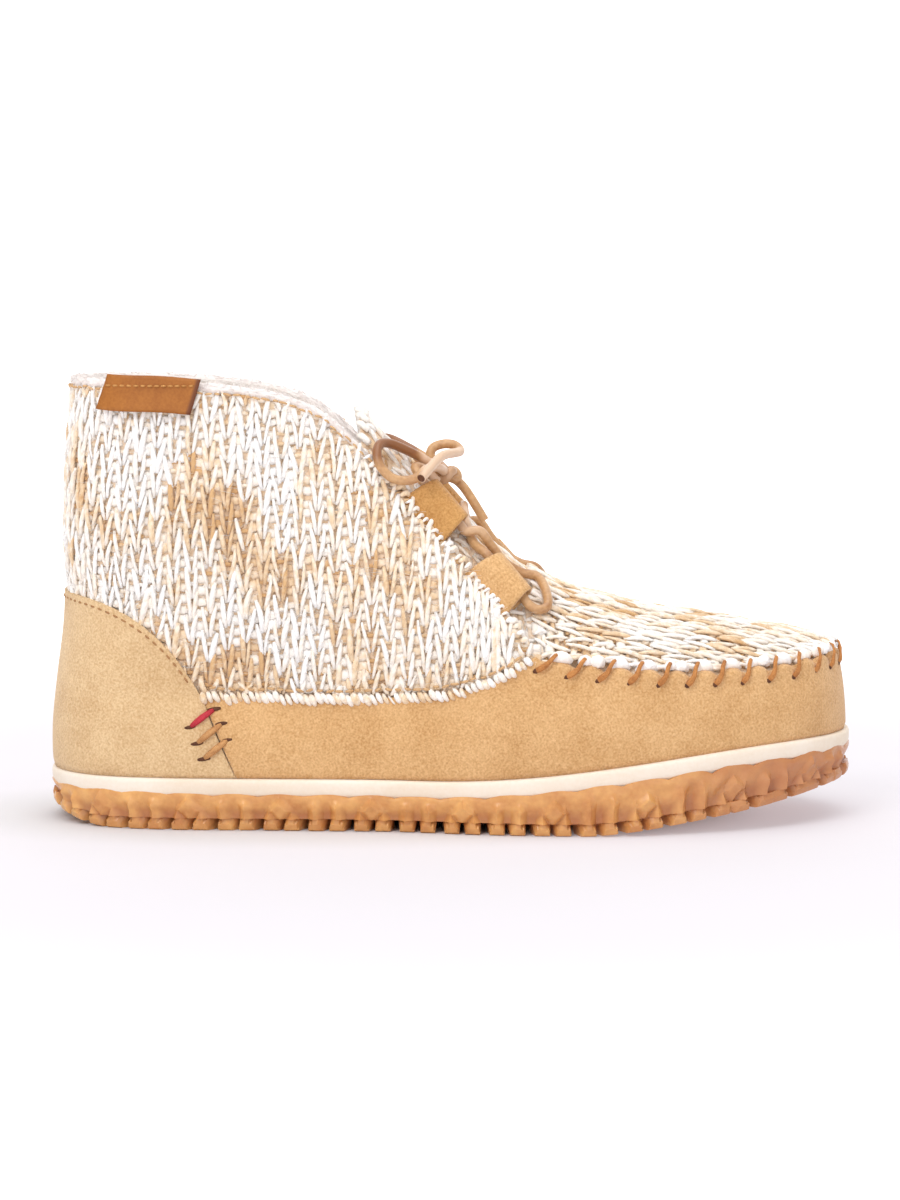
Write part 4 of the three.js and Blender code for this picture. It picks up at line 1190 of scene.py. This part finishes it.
# Swellings between the whip stitches: which pitch of six, place in that pitch and length along the seam.
PUFF_GROUP = 6
PUFFS = [
    (0, 0.5, 6.6), (1, 0.32, 3.6), (1, 0.74, 3.4), (2, 0.52, 6.0),
    (3, 0.46, 6.8), (4, 0.27, 3.2), (4, 0.68, 4.2), (5, 0.5, 6.4),
]
puffs = [
    ((first + pitch + share) * seam_pitch, run)
    for first in range(0, whip_count, PUFF_GROUP)
    for pitch, share, run in PUFFS
    if first + pitch < whip_count
]
puff_walk, puff_run = np.array(puffs).T[..., None]
puff_t = np.linspace(0, 1, LOOP_STEPS)
puff_loose = rng.normal(0, 1, (len(puffs), 4))
puff_arch = np.sin(np.pi * puff_t)
puff_where = np.interp(puff_walk + puff_run * (puff_t - 0.5), seam_walk, seam_fine)
puff_z = height_on(plug_seam, puff_where) + 0.9 + 0.5 * puff_arch
puff_z = puff_z + 0.4 * puff_loose[:, :1] * (puff_t - 0.5)
puff_out = -1.2 + 1.5 * puff_arch + 0.2 * puff_loose[:, 1:2]
puff_radii = (0.9 + 1.1 * puff_arch) * (1 + 0.1 * puff_loose[:, 2:3])
puff_tint = np.clip(0.95 + 0.14 * puff_loose[:, 3], 0, 1)
plug_batches.append((*laid(puff_where, puff_z, puff_out), puff_radii, YARN_FLAT, puff_tint, 8))
strands("knit_plug", YARN_FINISH, "knit", *plug_batches)

# Moccasin wrap: one strip of tan suede, lasted up round the forefoot from seam to seam.
# Its upper edge is drawn in at each whip stitch and swells a little between them.
SUEDE_WALL = 1.5
SEAM_FOOT = (61.5, 16.7)
SEAM_TOP = (HEM_REAR - 0.4, 41.4)
SEAM_GAP = 0.12
PUCKER_RISE = 1.3
PUCKER_DROP = 0.9
PUCKER_ROLL = 1.5
PUCKER_SINK = 0.7
EDGE_TURN = 1.1
SUEDE_OUT = 0.3
FOOT_TUCK = 0.5


def suede(name, light, dark):
    """Napped suede in two tones."""
    tones = (light, dark, 70.0, 1500.0, 0.68)
    return finish_of(name, tones, (0.7, 0.0006), roughness=0.95, sheen_weight=0.2)


SUEDE = suede("tan_suede", tone(234, 190, 136), tone(196, 146, 90))


def wrap_edge(station):
    """Upper edge of the wrap: under the hem, then along the plug's seam."""
    return np.where(station < HEM_CORNER + 1, hem(station) + 0.6, plug_seam(station))


NEAR[wrap_edge] = 48.0
wrap_rise = np.concatenate([np.linspace(0, 0.8, 13), np.linspace(0.84, 1, 7)])[:, None]
seam_station, seam_z = [blend(foot, top, wrap_rise) for foot, top in zip(SEAM_FOOT, SEAM_TOP)]
seam_angle = angle_at(seam_station + SEAM_GAP, seam_z)
wrap_angle = blend(seam_angle, 2 * np.pi - seam_angle, np.linspace(0, 1, 421))
stitch_place = np.interp(wrap_angle, seam_fine, seam_walk, left=0, right=seam_walk[-1]) / seam_pitch
pucker = np.abs(np.sin(np.pi * stitch_place)) ** 0.7
from_start = np.minimum(wrap_angle, 2 * np.pi - wrap_angle) - whip_start
on_plug = smooth(from_start, -0.06, 0.02)
edge_near = smooth(wrap_rise, 0.72, 1.0)
wrap_top = height_on(wrap_edge, wrap_angle) + on_plug * (PUCKER_RISE * pucker - PUCKER_DROP)
wrap_z = blend(foot_line(wrap_angle, 22.0) + 0.1, wrap_top, wrap_rise)
belly = 0.35 * np.sin(7 * wrap_angle + 1.3) * np.sin(np.pi * wrap_rise)
belly = belly + 0.25 * np.sin(19 * wrap_angle) * wrap_rise
rolled = on_plug * edge_near * (PUCKER_ROLL * pucker - PUCKER_SINK)
rolled = rolled - on_plug * EDGE_TURN * smooth(wrap_rise, 0.94, 1)
wrap_out = belly + rolled + SUEDE_OUT - FOOT_TUCK * smooth(0.06 - wrap_rise, 0, 0.06)
wrap = sheet("suede_wrap", lifted(skin, wrap_angle, wrap_z, wrap_out), SUEDE, SUEDE_WALL)
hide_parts("moccasin_wrap")

# Whip stitches: a flat lace of brown leather, sewn by hand round the seam of plug and wrap.
# Each stitch comes out of a hole in the suede and slants up over its edge.
WHIP_RISE = through((0, -4.6), (0.2, -3.7), (0.6, -1.2), (0.85, 1.0), (1, 2.0))
WHIP_OUT = through((0, -0.2), (0.2, 1.0), (0.6, 1.7), (0.85, 2.0), (1, 0.6))
WHIP_SLANT = through((0, 8), (1, 7.4), (4, 5.4), (10, 4.6), (18, 5.4), (40, 5.4))
WHIP_WIDTH = through((0, 0.6), (0.25, 0.95), (0.6, 0.75), (1, 0.5))
WHIP_HOLE = [(-0.05, 0.4), (0.06, 0.85), (0.17, 0.6)]
LACING_TONES = (tone(206, 140, 76), tone(160, 98, 46), 300.0, 1800.0, 0.5)
BROWN_LACING = finish_of("brown_lacing", LACING_TONES, (0.4, 0.0004), roughness=0.75)
# Painted shade: the stitch holes get this dark finish. The lace's cut end is drawn in it too.
HOLE_DARK = thread_finish("stitch_hole", tone(104, 58, 24), tone(70, 34, 12))
whip_walk = np.linspace(0, seam_walk[-1], whip_count + 1)
whip_angle = np.interp(whip_walk, seam_walk, seam_fine)[:-1, None]
whip_speed = np.gradient(seam_walk, seam_fine)[np.searchsorted(seam_walk, whip_walk[:-1] + 1e-6)]
whip_slant = (WHIP_SLANT(np.arange(whip_count)) / whip_speed)[:, None]


def whip_rows(t):
    """Angles along each whip stitch. The last one closes the row at the seam's other end."""
    where = whip_angle + whip_slant * (t - 0.5)
    return np.concatenate([where, 2 * np.pi - where[:1, ::-1]])


whip_t = np.linspace(0, 1, 8)
whip_where = whip_rows(whip_t)
whip_laid = laid(whip_where, height_on(plug_seam, whip_where) + WHIP_RISE(whip_t), WHIP_OUT(whip_t))
strands("whip_stitches", BROWN_LACING, "suede", (*whip_laid, WHIP_WIDTH(whip_t), 0.55, 1.0, 8))
# Painted shade: a dark blob at the foot of each stitch, where its hole is.
hole_t, hole_radii = np.array(WHIP_HOLE).T
hole_where = whip_rows(hole_t)[:-1]
hole_laid = laid(hole_where, height_on(plug_seam, hole_where) + WHIP_RISE(hole_t), 0.45)
strands("whip_holes", HOLE_DARK, "suede", (*hole_laid, hole_radii, 0.5, 1.0, 8))

# Heel counter: a suede panel lasted round the heel, its curved top edge lapped over the knit
# and sewn down with one row of brown thread.
COUNTER_LAP = 0.7
COUNTER_ROW = 1.9
counter_share = np.linspace(-1, 1, 141)
counter_rise = np.concatenate([np.linspace(0, 0.9, 24), np.linspace(0.93, 1, 5)])[:, None]
top_reach = angle_at(HEM_REAR - 0.4, 41.6)
foot_reach = angle_at(SEAM_FOOT[0], 16.6)
counter_angle = counter_share * blend(foot_reach, top_reach, counter_rise)
counter_top = height_on(counter_edge, counter_share * top_reach)
counter_z = blend(foot_line(counter_share * foot_reach) + 0.1, counter_top, counter_rise)
counter_out = SUEDE_OUT + COUNTER_LAP * smooth(counter_rise, 0.75, 1)
counter_out = counter_out - FOOT_TUCK * smooth(0.05 - counter_rise, 0, 0.05)
counter_out = counter_out + 0.25 * np.sin(9 * counter_angle) * np.sin(np.pi * counter_rise)
counter_points = lifted(skin, counter_angle, counter_z, counter_out)
PALE_SUEDE = suede("pale_suede", tone(238, 206, 160), tone(202, 162, 114))
counter = sheet("suede_counter", counter_points, PALE_SUEDE, SUEDE_WALL)
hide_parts("heel_counter")
BROWN_THREAD = thread_finish("brown_thread", tone(186, 138, 90), tone(150, 104, 62))
counter_ends = row_of_dashes(counter_edge, -top_reach + 0.04, top_reach - 0.04, COUNTER_ROW)
strands("counter_stitches", BROWN_THREAD, "suede", dashes(counter_ends, 1.1, 0.3))

# Cross stitches: three thick hand stitches of waxed thread close the slanting seam on each side.
# The top one is red. Each end goes into a hole in the suede, marked with a dark blob of painted shade.
CROSS_STITCHES = [((47.2, 32.4), (54.7, 38)), ((49.4, 27.4), (57.2, 33.6)), ((51.5, 22.6), (59, 28.6))]
HOLE_HALF = [0.02, 0.3]
RED_THREAD = thread_finish("red_thread", tone(206, 52, 66), tone(160, 26, 44))
TAN_THREAD = thread_finish("tan_thread", tone(214, 160, 102), tone(176, 120, 70))
cross_station, cross_z = np.moveaxis(np.array(CROSS_STITCHES), -1, 0)
cross_ends = np.stack([angle_at(cross_station, cross_z), cross_z], axis=-1)
cross_rows = [("red_stitch", RED_THREAD, slice(0, 1)), ("tan_stitches", TAN_THREAD, slice(1, 3))]
for name, material, rows in cross_rows:
    strands(name, material, "suede", dashes(both_sides(cross_ends[rows]), 1.5, 0.95, sag=1.2, flat=0.6))
# Painted shade of the holes at both ends of each cross stitch.
all_ends = both_sides(cross_ends).reshape(-1, 1, 2)
hole_ends = np.concatenate([all_ends - HOLE_HALF, all_ends + HOLE_HALF], axis=1)
strands("cross_holes", HOLE_DARK, "suede", dashes(hole_ends, 0.55, 0.6, sag=0.2, flat=0.4))

# Lace tunnels: four straps of suede, each folded over into a tunnel for the lace.
# Their ends are sewn in under the quarters' front edges.
TUNNEL_CENTRES = {"upper": (122, 98.2), "lower": (141.6, 75.8)}
TUNNEL_LENGTH = 18.5
TUNNEL_WALL = 1.2
TUNNEL_REACH = 6.45
TUNNEL_MIDDLE = 0.45
FOLD_RADIUS = 2.9
FOLD_TAPER = 0.8
FOLD_END = 9
SIDES = {"outer": OUTER, "inner": INNER}
# The upper straps get a darker copy of the suede, as painted shade.
STRAP_SUEDE = {"upper": suede("shaded_strap_suede", tone(214, 162, 98), tone(178, 124, 64)), "lower": SUEDE}


def surface_point(station, z, side):
    """Point of the last's side at a place of the side view."""
    y = float(middle(station / SOLE_LENGTH) * lean(z) + side * half_width(station, z))
    return np.array([station, y, z])


def throat_frame(station, z, side):
    """Origin on the last, and directions down the throat, over it and out of it."""
    (s_up, z_up), (s_low, z_low) = TUNNEL_CENTRES.values()
    slope = unit(np.array([s_low - s_up, z_low - z_up])) * 4
    origin = surface_point(station, z, side)
    down = unit(surface_point(station + slope[0], z + slope[1], side) - origin)
    over = surface_point(station - slope[1], z + slope[0], side) - origin
    over = unit(over - down * (over @ down))
    return origin, down, over, side * np.cross(over, down)


def in_throat(station, z, side, down, over, out):
    """Point beside a place of the throat's edge."""
    origin, d, o, n = throat_frame(station, z, side)
    return origin + down * d + over * o + out * n


fold = np.radians(np.linspace(112, -118, 11))
fold_over = TUNNEL_REACH + FOLD_RADIUS * np.cos(fold)
fold_out = TUNNEL_MIDDLE + FOLD_RADIUS * np.sin(fold)
# Across a strap from end to end: distance over the throat's edge and distance out.
STRAP_PROFILE = [
    (-3, -2.6), (-0.6, -1.9), (0.8, -0.2), (2.2, 1.5), (3.8, 2.6),
    *zip(fold_over, fold_out),
    (3.2, -2.6), (0, -3.2),
]
for level, (station, z) in TUNNEL_CENTRES.items():
    for side_name, side in SIDES.items():
        rows = []
        for across in np.linspace(-0.5, 0.5, 13):
            row = []
            for over, out in STRAP_PROFILE:
                narrow = blend(1, FOLD_TAPER, min(max(over / FOLD_END, 0), 1))
                row.append(in_throat(station, z, side, across * TUNNEL_LENGTH * narrow, over, out))
            rows.append(row if side == OUTER else row[::-1])
        strap_name = f"suede_tunnel_{level}_{side_name}"
        strap = sheet(strap_name, np.array(rows), STRAP_SUEDE[level], TUNNEL_WALL)
        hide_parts(f"lace_tunnel_{level}_{side_name}")

# Lace: one round cord of waxed leather. On each side it runs from the knot through the upper tunnel, down
# the tongue and back up through the lower one, then under itself to the other side.
# A small bow ties it, with cut ends.
LACE = 3
KNOT_STATION = 126.8
KNOT_OUT = 1.4
CROSSING_STATION = 134
CROSSING_OUT = -1.7


def smooth_path(points, steps=8):
    """Points along an even-handed curve through the given ones."""
    points = np.array(points)
    points = np.concatenate([[2 * points[0] - points[1]], points, [2 * points[-1] - points[-2]]])
    made = []
    for p0, p1, p2, p3 in zip(points, points[1:], points[2:], points[3:]):
        t0 = 0
        t1 = t0 + math.sqrt(np.linalg.norm(p1 - p0))
        t2 = t1 + math.sqrt(np.linalg.norm(p2 - p1))
        t3 = t2 + math.sqrt(np.linalg.norm(p3 - p2))
        t = np.linspace(t1, t2, steps, endpoint=False)[:, None]
        a1 = blend(p0, p1, (t - t0) / (t1 - t0))
        a2 = blend(p1, p2, (t - t1) / (t2 - t1))
        a3 = blend(p2, p3, (t - t2) / (t3 - t2))
        b1 = blend(a1, a2, (t - t0) / (t2 - t0))
        b2 = blend(a2, a3, (t - t1) / (t3 - t1))
        made.append(blend(b1, b2, (t - t1) / (t2 - t1)))
    return np.concatenate([*made, points[-2:-1]])


def on_throat(station, z, side, out):
    """Point over a place of the last's side."""
    return in_throat(station, z, side, 0, 0, out)


def on_ridge(station, out):
    """Point over the instep's middle line."""
    slope = float(ridge(station + 1) - ridge(station - 1)) / 2
    lift = unit(np.array([-slope, 0, 1])) * out
    return np.array([station, float(top_line(station)), float(ridge(station))]) + lift


def beside_tunnel(level, side, down, over, out):
    """Point beside a tunnel's middle."""
    station, z = TUNNEL_CENTRES[level]
    return in_throat(station, z, side, down, over, out)


def in_tunnel(level, side, *downs):
    """Points along the inside of a tunnel."""
    return [beside_tunnel(level, side, down, TUNNEL_REACH, TUNNEL_MIDDLE) for down in downs]


knot_centre = on_ridge(KNOT_STATION, KNOT_OUT)


def from_knot(x, y, z):
    """Point beside the knot's middle."""
    return knot_centre + np.array([x, y, z])


def lace_leather():
    """Waxed leather, with a painted highlight on the outer end, painted shade on the bow's upper strand."""
    material = finish_of(
        "waxed_leather",
        tones=(tone(212, 168, 118), tone(172, 122, 78), 90.0, 900.0, 0.4),
        grain_bump=(0.25, 0.0003),
        roughness=0.42,
        coat_weight=0.3,
        coat_roughness=0.3,
    )
    tree = material.node_tree
    x, y, z = axes(tree, "Object")
    # Painted highlight: the outer end is made pale, as where its gloss catches the light.
    painted_highlight = arithmetic(tree, "MULTIPLY", ramp(tree, x, -0.0105, -0.0085), ramp(tree, y, -0.003, -0.008))
    painted_highlight = arithmetic(tree, "MULTIPLY", painted_highlight, ramp(tree, z, 0.09, 0.1))
    # Painted shade over the bow's upper strand.
    shaded = arithmetic(tree, "MULTIPLY", ramp(tree, x, -0.01, -0.0115), ramp(tree, z, 0.113, 0.117))
    tinted(material, painted_highlight, tone(222, 188, 158))
    tinted(material, shaded, tone(142, 90, 50))
    return material


LACE_LEATHER = lace_leather()


def lace_cord(name, points, nodes):
    """Curve of the lace's thickness, standing for its solids."""
    curve = bpy.data.curves.new(name, "CURVE")
    curve.dimensions = "3D"
    curve.bevel_depth = LACE / 2 * MM
    curve.bevel_resolution = 4
    curve.use_fill_caps = True
    line = [LAST_TO_FRAME @ Vector(p) for p in smooth_path(points)]
    spline = curve.splines.new("POLY")
    spline.points.add(len(line) - 1)
    for point, place in zip(spline.points, line):
        point.co = (*place, 1)
    spline.use_smooth = True
    made = placed(name, curve, LACE_LEATHER)
    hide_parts(*nodes)
    return made, line


def half_run(side):
    """The lace's way on one side, from the knot through both tunnels to the crossing."""
    return [
        from_knot(-3.4, side * 6.4, -1.6),
        on_throat(121.5, 111.6, side, -0.6),
        on_throat(117.4, 112.6, side, 0.2),
        *in_tunnel("upper", side, -10.8, -8.5, 8.5, 10.8),
        on_throat(136.4, 91.4, side, 2.4),
        on_throat(141.5, 88, side, 0.2),
        on_throat(147, 83.8, side, -1.4),
        on_throat(152.3, 80.6, side, -1.4),
        on_throat(156, 78.2, side, 0.2),
        beside_tunnel("lower", side, 12.6, 13.2, 0),
        beside_tunnel("lower", side, 14.6, 10.4, 0.6),
        beside_tunnel("lower", side, 13.7, 7.6, 0.6),
        *in_tunnel("lower", side, 11, 8.5, -8.5, -10.8),
        on_throat(137.2, 90, side, -1.6),
        on_throat(135, 95, side, -1.6),
    ]


run_points = [*half_run(OUTER), on_ridge(CROSSING_STATION, CROSSING_OUT), *half_run(INNER)[::-1]]
lace_cord("lace_through_tunnels", run_points, ["lace_run"])

# A bow loop beside the throat: station, height and distance out.
BOW_LOOP = [
    (115.5, 117.6, -0.2), (109.5, 120.3, -0.2), (106.3, 119.8, 0.8), (104.6, 116.8, 2.2), (105.8, 112.4, 2.6),
    (109.5, 108.6, 2.8), (113.4, 107.4, 3.2), (116.4, 107.4, 4.6),
]
# The loop's way back to the knot, and the outer end's turn over it, from the knot's middle.
BOW_BACK = [(-7.4, 18.4, 2.6), (-4.8, 12.8, 3.4), (-2.6, 8.4, 2.8)]
END_OUTER = [
    (-3.6, 0.5, 4), (-5.5, 1.2, 6), (-4.9, 1.8, 8.4), (-1.6, 2, 9.8), (2, 1, 9.6), (3.9, -2.4, 7.9),
    (-2, -14.8, 6.9), (-8.3, -26.4, 0.8),
]


def bow_points(side):
    """The bow's loop on one side, out of the knot and back."""
    return [
        from_knot(-3, side * 4.3, 2.8),
        *[on_throat(station, z, side, out) for station, z, out in BOW_LOOP],
        *[from_knot(x, side * y, z) for x, y, z in BOW_BACK],
    ]


end_outer = [from_knot(*place) for place in END_OUTER]
end_inner = [from_knot(4.6, 0.8, -3.4), on_ridge(133.8, 1.7), on_ridge(140, -0.6)]
free_laces = {
    "outer": bow_points(OUTER) + [from_knot(-1.2, -3, 1.4)] + end_outer,
    "inner": bow_points(INNER) + [from_knot(0.6, 2.6, 0)] + end_inner,
}

CUT_RADII = [1.35, 1.3, 1.1]
cut_way = unit(end_outer[-1] - end_outer[-2])
cut_path = (end_outer[-1] + np.array([-0.15, 0, 0.1])[:, None] * cut_way)[None]
strands("lace_cut_end", HOLE_DARK, "lace_leather", (cut_path, UPWARDS, CUT_RADII, 1.0, 1.0, 12))

KNOT_SPREAD = 1.15
KNOT_FACING = [0.3, -0.8, 0.5]
turn = np.linspace(0, 2 * np.pi, 73)[:-1]
knot_path = [
    np.sin(turn) + 2 * np.sin(2 * turn),
    np.cos(turn) - 2 * np.cos(2 * turn),
    -1.2 * np.sin(3 * turn),
]
knot_path = np.stack(knot_path, axis=-1) * KNOT_SPREAD + knot_centre
knot_path = np.concatenate([knot_path, knot_path[:1]])[None]
knot_batch = (knot_path, KNOT_FACING, LACE / 2, 1.0, 1.0, 10)
knot = strands("lace_knot_turns", LACE_LEATHER, "lace_leather", knot_batch)
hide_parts("lace_knot")

for side_name, points in free_laces.items():
    solids = [f"lace_bow_{side_name}", f"lace_end_{side_name}"]
    made, line = lace_cord(f"lace_bow_and_end_{side_name}", points, solids)

# Label: a strip of cognac leather, sewn to the outside of the collar with one row of thread near its top.
# Its lower edge hangs free and stands a little off the knit.
TAG_REAR = 22.4
TAG_FRONT = 51
TAG_TOP = 142
TAG_FOOT = 131
TAG_SLANT = 3.3
TAG_TILT = 1.6
TAG_WALL = 1.4
TAG_OUT = 1.65
TAG_HANG = 0.9
TAG_ROW = 139.0
TAG_STITCH_HALF = 0.75
TAG_STITCH_PITCH = 2.1


def cognac():
    """Cognac leather, darker along its front edge."""
    tones = (tone(176, 108, 34), tone(150, 84, 14), 120.0, 1200.0, 0.4)
    material = finish_of("cognac_leather", tones, (0.3, 0.0003), roughness=0.55)
    tree = material.node_tree
    tinted(material, ramp(tree, axes(tree, "UV")["X"], 0.94, 0.97), tone(112, 58, 22))
    return material


tag_rise = np.linspace(0, 1, 12)[:, None]
tag_share = np.linspace(0, 1, 30)
tag_station = blend(TAG_REAR, TAG_FRONT, tag_share) - TAG_SLANT * (1 - tag_rise)
tag_z = blend(TAG_FOOT, TAG_TOP, tag_rise) + 0.25 * np.sin(tag_station / 5)
tag_z = tag_z - TAG_TILT * (tag_share - 0.5)
tag_out = TAG_OUT + TAG_HANG * (1 - tag_rise) ** 2 + 0.2 * np.sin(tag_station / 4 + 1)
tag_points = lifted(skin, angle_at(tag_station, tag_z), tag_z, tag_out)
tag = sheet("leather_label", tag_points, cognac(), TAG_WALL)
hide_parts("collar_tag")
tag_stitch = np.arange(TAG_REAR + 0.4, TAG_FRONT - 1.5, TAG_STITCH_PITCH)
tag_stitch = np.stack([tag_stitch - TAG_STITCH_HALF, tag_stitch + TAG_STITCH_HALF], axis=-1)
tag_ends = np.stack([angle_at(tag_stitch, TAG_ROW), np.full_like(tag_stitch, TAG_ROW)], axis=-1)
TAG_THREAD = thread_finish("label_thread", tone(208, 152, 86), tone(172, 114, 52))
strands("label_stitches", TAG_THREAD, "tag_leather", dashes(tag_ends, 2.15, 0.34))

# Floor, light and camera: a sweep of white paper under broad soft light.
# The shoe is seen from its outer side, a little from above.
PHOTO_SIZE = (900, 1200)
FOCAL_PIXELS = 3579
SENSOR = 36
VIEW_DISTANCE = 1.15
VIEW_HEIGHT = 0.069
VIEW_ELEVATION = math.radians(6)
OPTICAL_CENTRE = 451.5
PAPER_SIZE = 6
ROOM_LIGHT = 0.56
BLACK = (0, 0, 0, 1)
WHITE = (1, 1, 1, 1)


def white_sweep():
    """Matt white paper that glows round the shoe as painted light, and more so far from it."""
    material = finish_of("white_sweep", roughness=0.9, emission_strength=1.0)
    tree = material.node_tree
    shader = tree.nodes["Principled BSDF"]

    def vector(operation, *values):
        return add_node(tree, "ShaderNodeVectorMath", dict(enumerate(values)), operation=operation).outputs

    def away(place, low, high):
        return ramp(tree, vector("LENGTH", place)["Value"], low, high, interpolation_type="SMOOTHSTEP")

    place = add_node(tree, "ShaderNodeTexCoord").outputs["Object"]
    moved = vector("ADD", place, (0.04, 0, 0))["Vector"]
    beside = away(vector("MULTIPLY", moved, (9.5, 19, 0))["Vector"], 0.9, 1.4)
    paper = mixed(tree, beside, (0.72, 0.71, 0.735, 1), (0.46, 0.45, 0.465, 1))
    # Painted light: beyond the sole's oval the paper glows faintly, which lightens the shoe's shadow.
    glow = mixed(tree, beside, BLACK, (0.37, 0.35, 0.38, 1))
    glow = mixed(tree, away(place, 0.2, 0.6), glow, WHITE)
    tree.links.new(paper, shader.inputs["Base Color"])
    tree.links.new(glow, shader.inputs["Emission Color"])
    return material


lit_paper = finish_of("lit_paper", roughness=0.9, emission_strength=1.0, emission_color=WHITE)
papers = [
    ("floor", white_sweep(), (0, 0, 0), (0, 0, 0)),
    ("backdrop", lit_paper, (0, 3, 0), (math.pi / 2, 0, 0)),
]
for name, material, place, tilt in papers:
    bpy.ops.mesh.primitive_plane_add(size=PAPER_SIZE, location=place, rotation=tilt)
    paper = bpy.context.object
    paper.name = name
    paper.data.materials.append(material)

camera = bpy.data.objects.new("camera", bpy.data.cameras.new("camera"))
bpy.context.scene.collection.objects.link(camera)
camera.data.sensor_width = SENSOR
camera.data.lens = FOCAL_PIXELS / max(PHOTO_SIZE) * SENSOR
camera.data.shift_x = (PHOTO_SIZE[0] / 2 - OPTICAL_CENTRE) / max(PHOTO_SIZE)
towards = Vector((0, math.cos(VIEW_ELEVATION), -math.sin(VIEW_ELEVATION)))
camera.location = Vector((0, 0, VIEW_HEIGHT)) - towards * VIEW_DISTANCE
camera.rotation_euler = towards.to_track_quat("-Z", "Y").to_euler()
bpy.context.scene.camera = camera

world = bpy.data.worlds.new("studio")
bpy.context.scene.world = world
world.use_nodes = True
world.node_tree.nodes["Background"].inputs["Color"].default_value = WHITE
world.node_tree.nodes["Background"].inputs["Strength"].default_value = ROOM_LIGHT


def soft_light(name, place, aim, size, power):
    """A broad lamp that faces a point."""
    lamp = bpy.data.lights.new(name, "AREA")
    lamp.shape = "RECTANGLE"
    lamp.size, lamp.size_y = size
    lamp.energy = power
    made = bpy.data.objects.new(name, lamp)
    made.location = place
    made.rotation_euler = (Vector(aim) - Vector(place)).to_track_quat("-Z", "Y").to_euler()
    bpy.context.scene.collection.objects.link(made)


soft_light("key", (-0.6, -1.0, 1.1), (0, 0, 0.05), (0.7, 0.7), 8)
soft_light("top", (0.1, -0.1, 1.3), (0, 0, 0.05), (1.2, 1.2), 9)
soft_light("front", (0.4, -1.5, 0.3), (0.05, 0, 0.03), (1.5, 0.5), 3)
bpy.context.scene.view_settings.view_transform = "Standard"
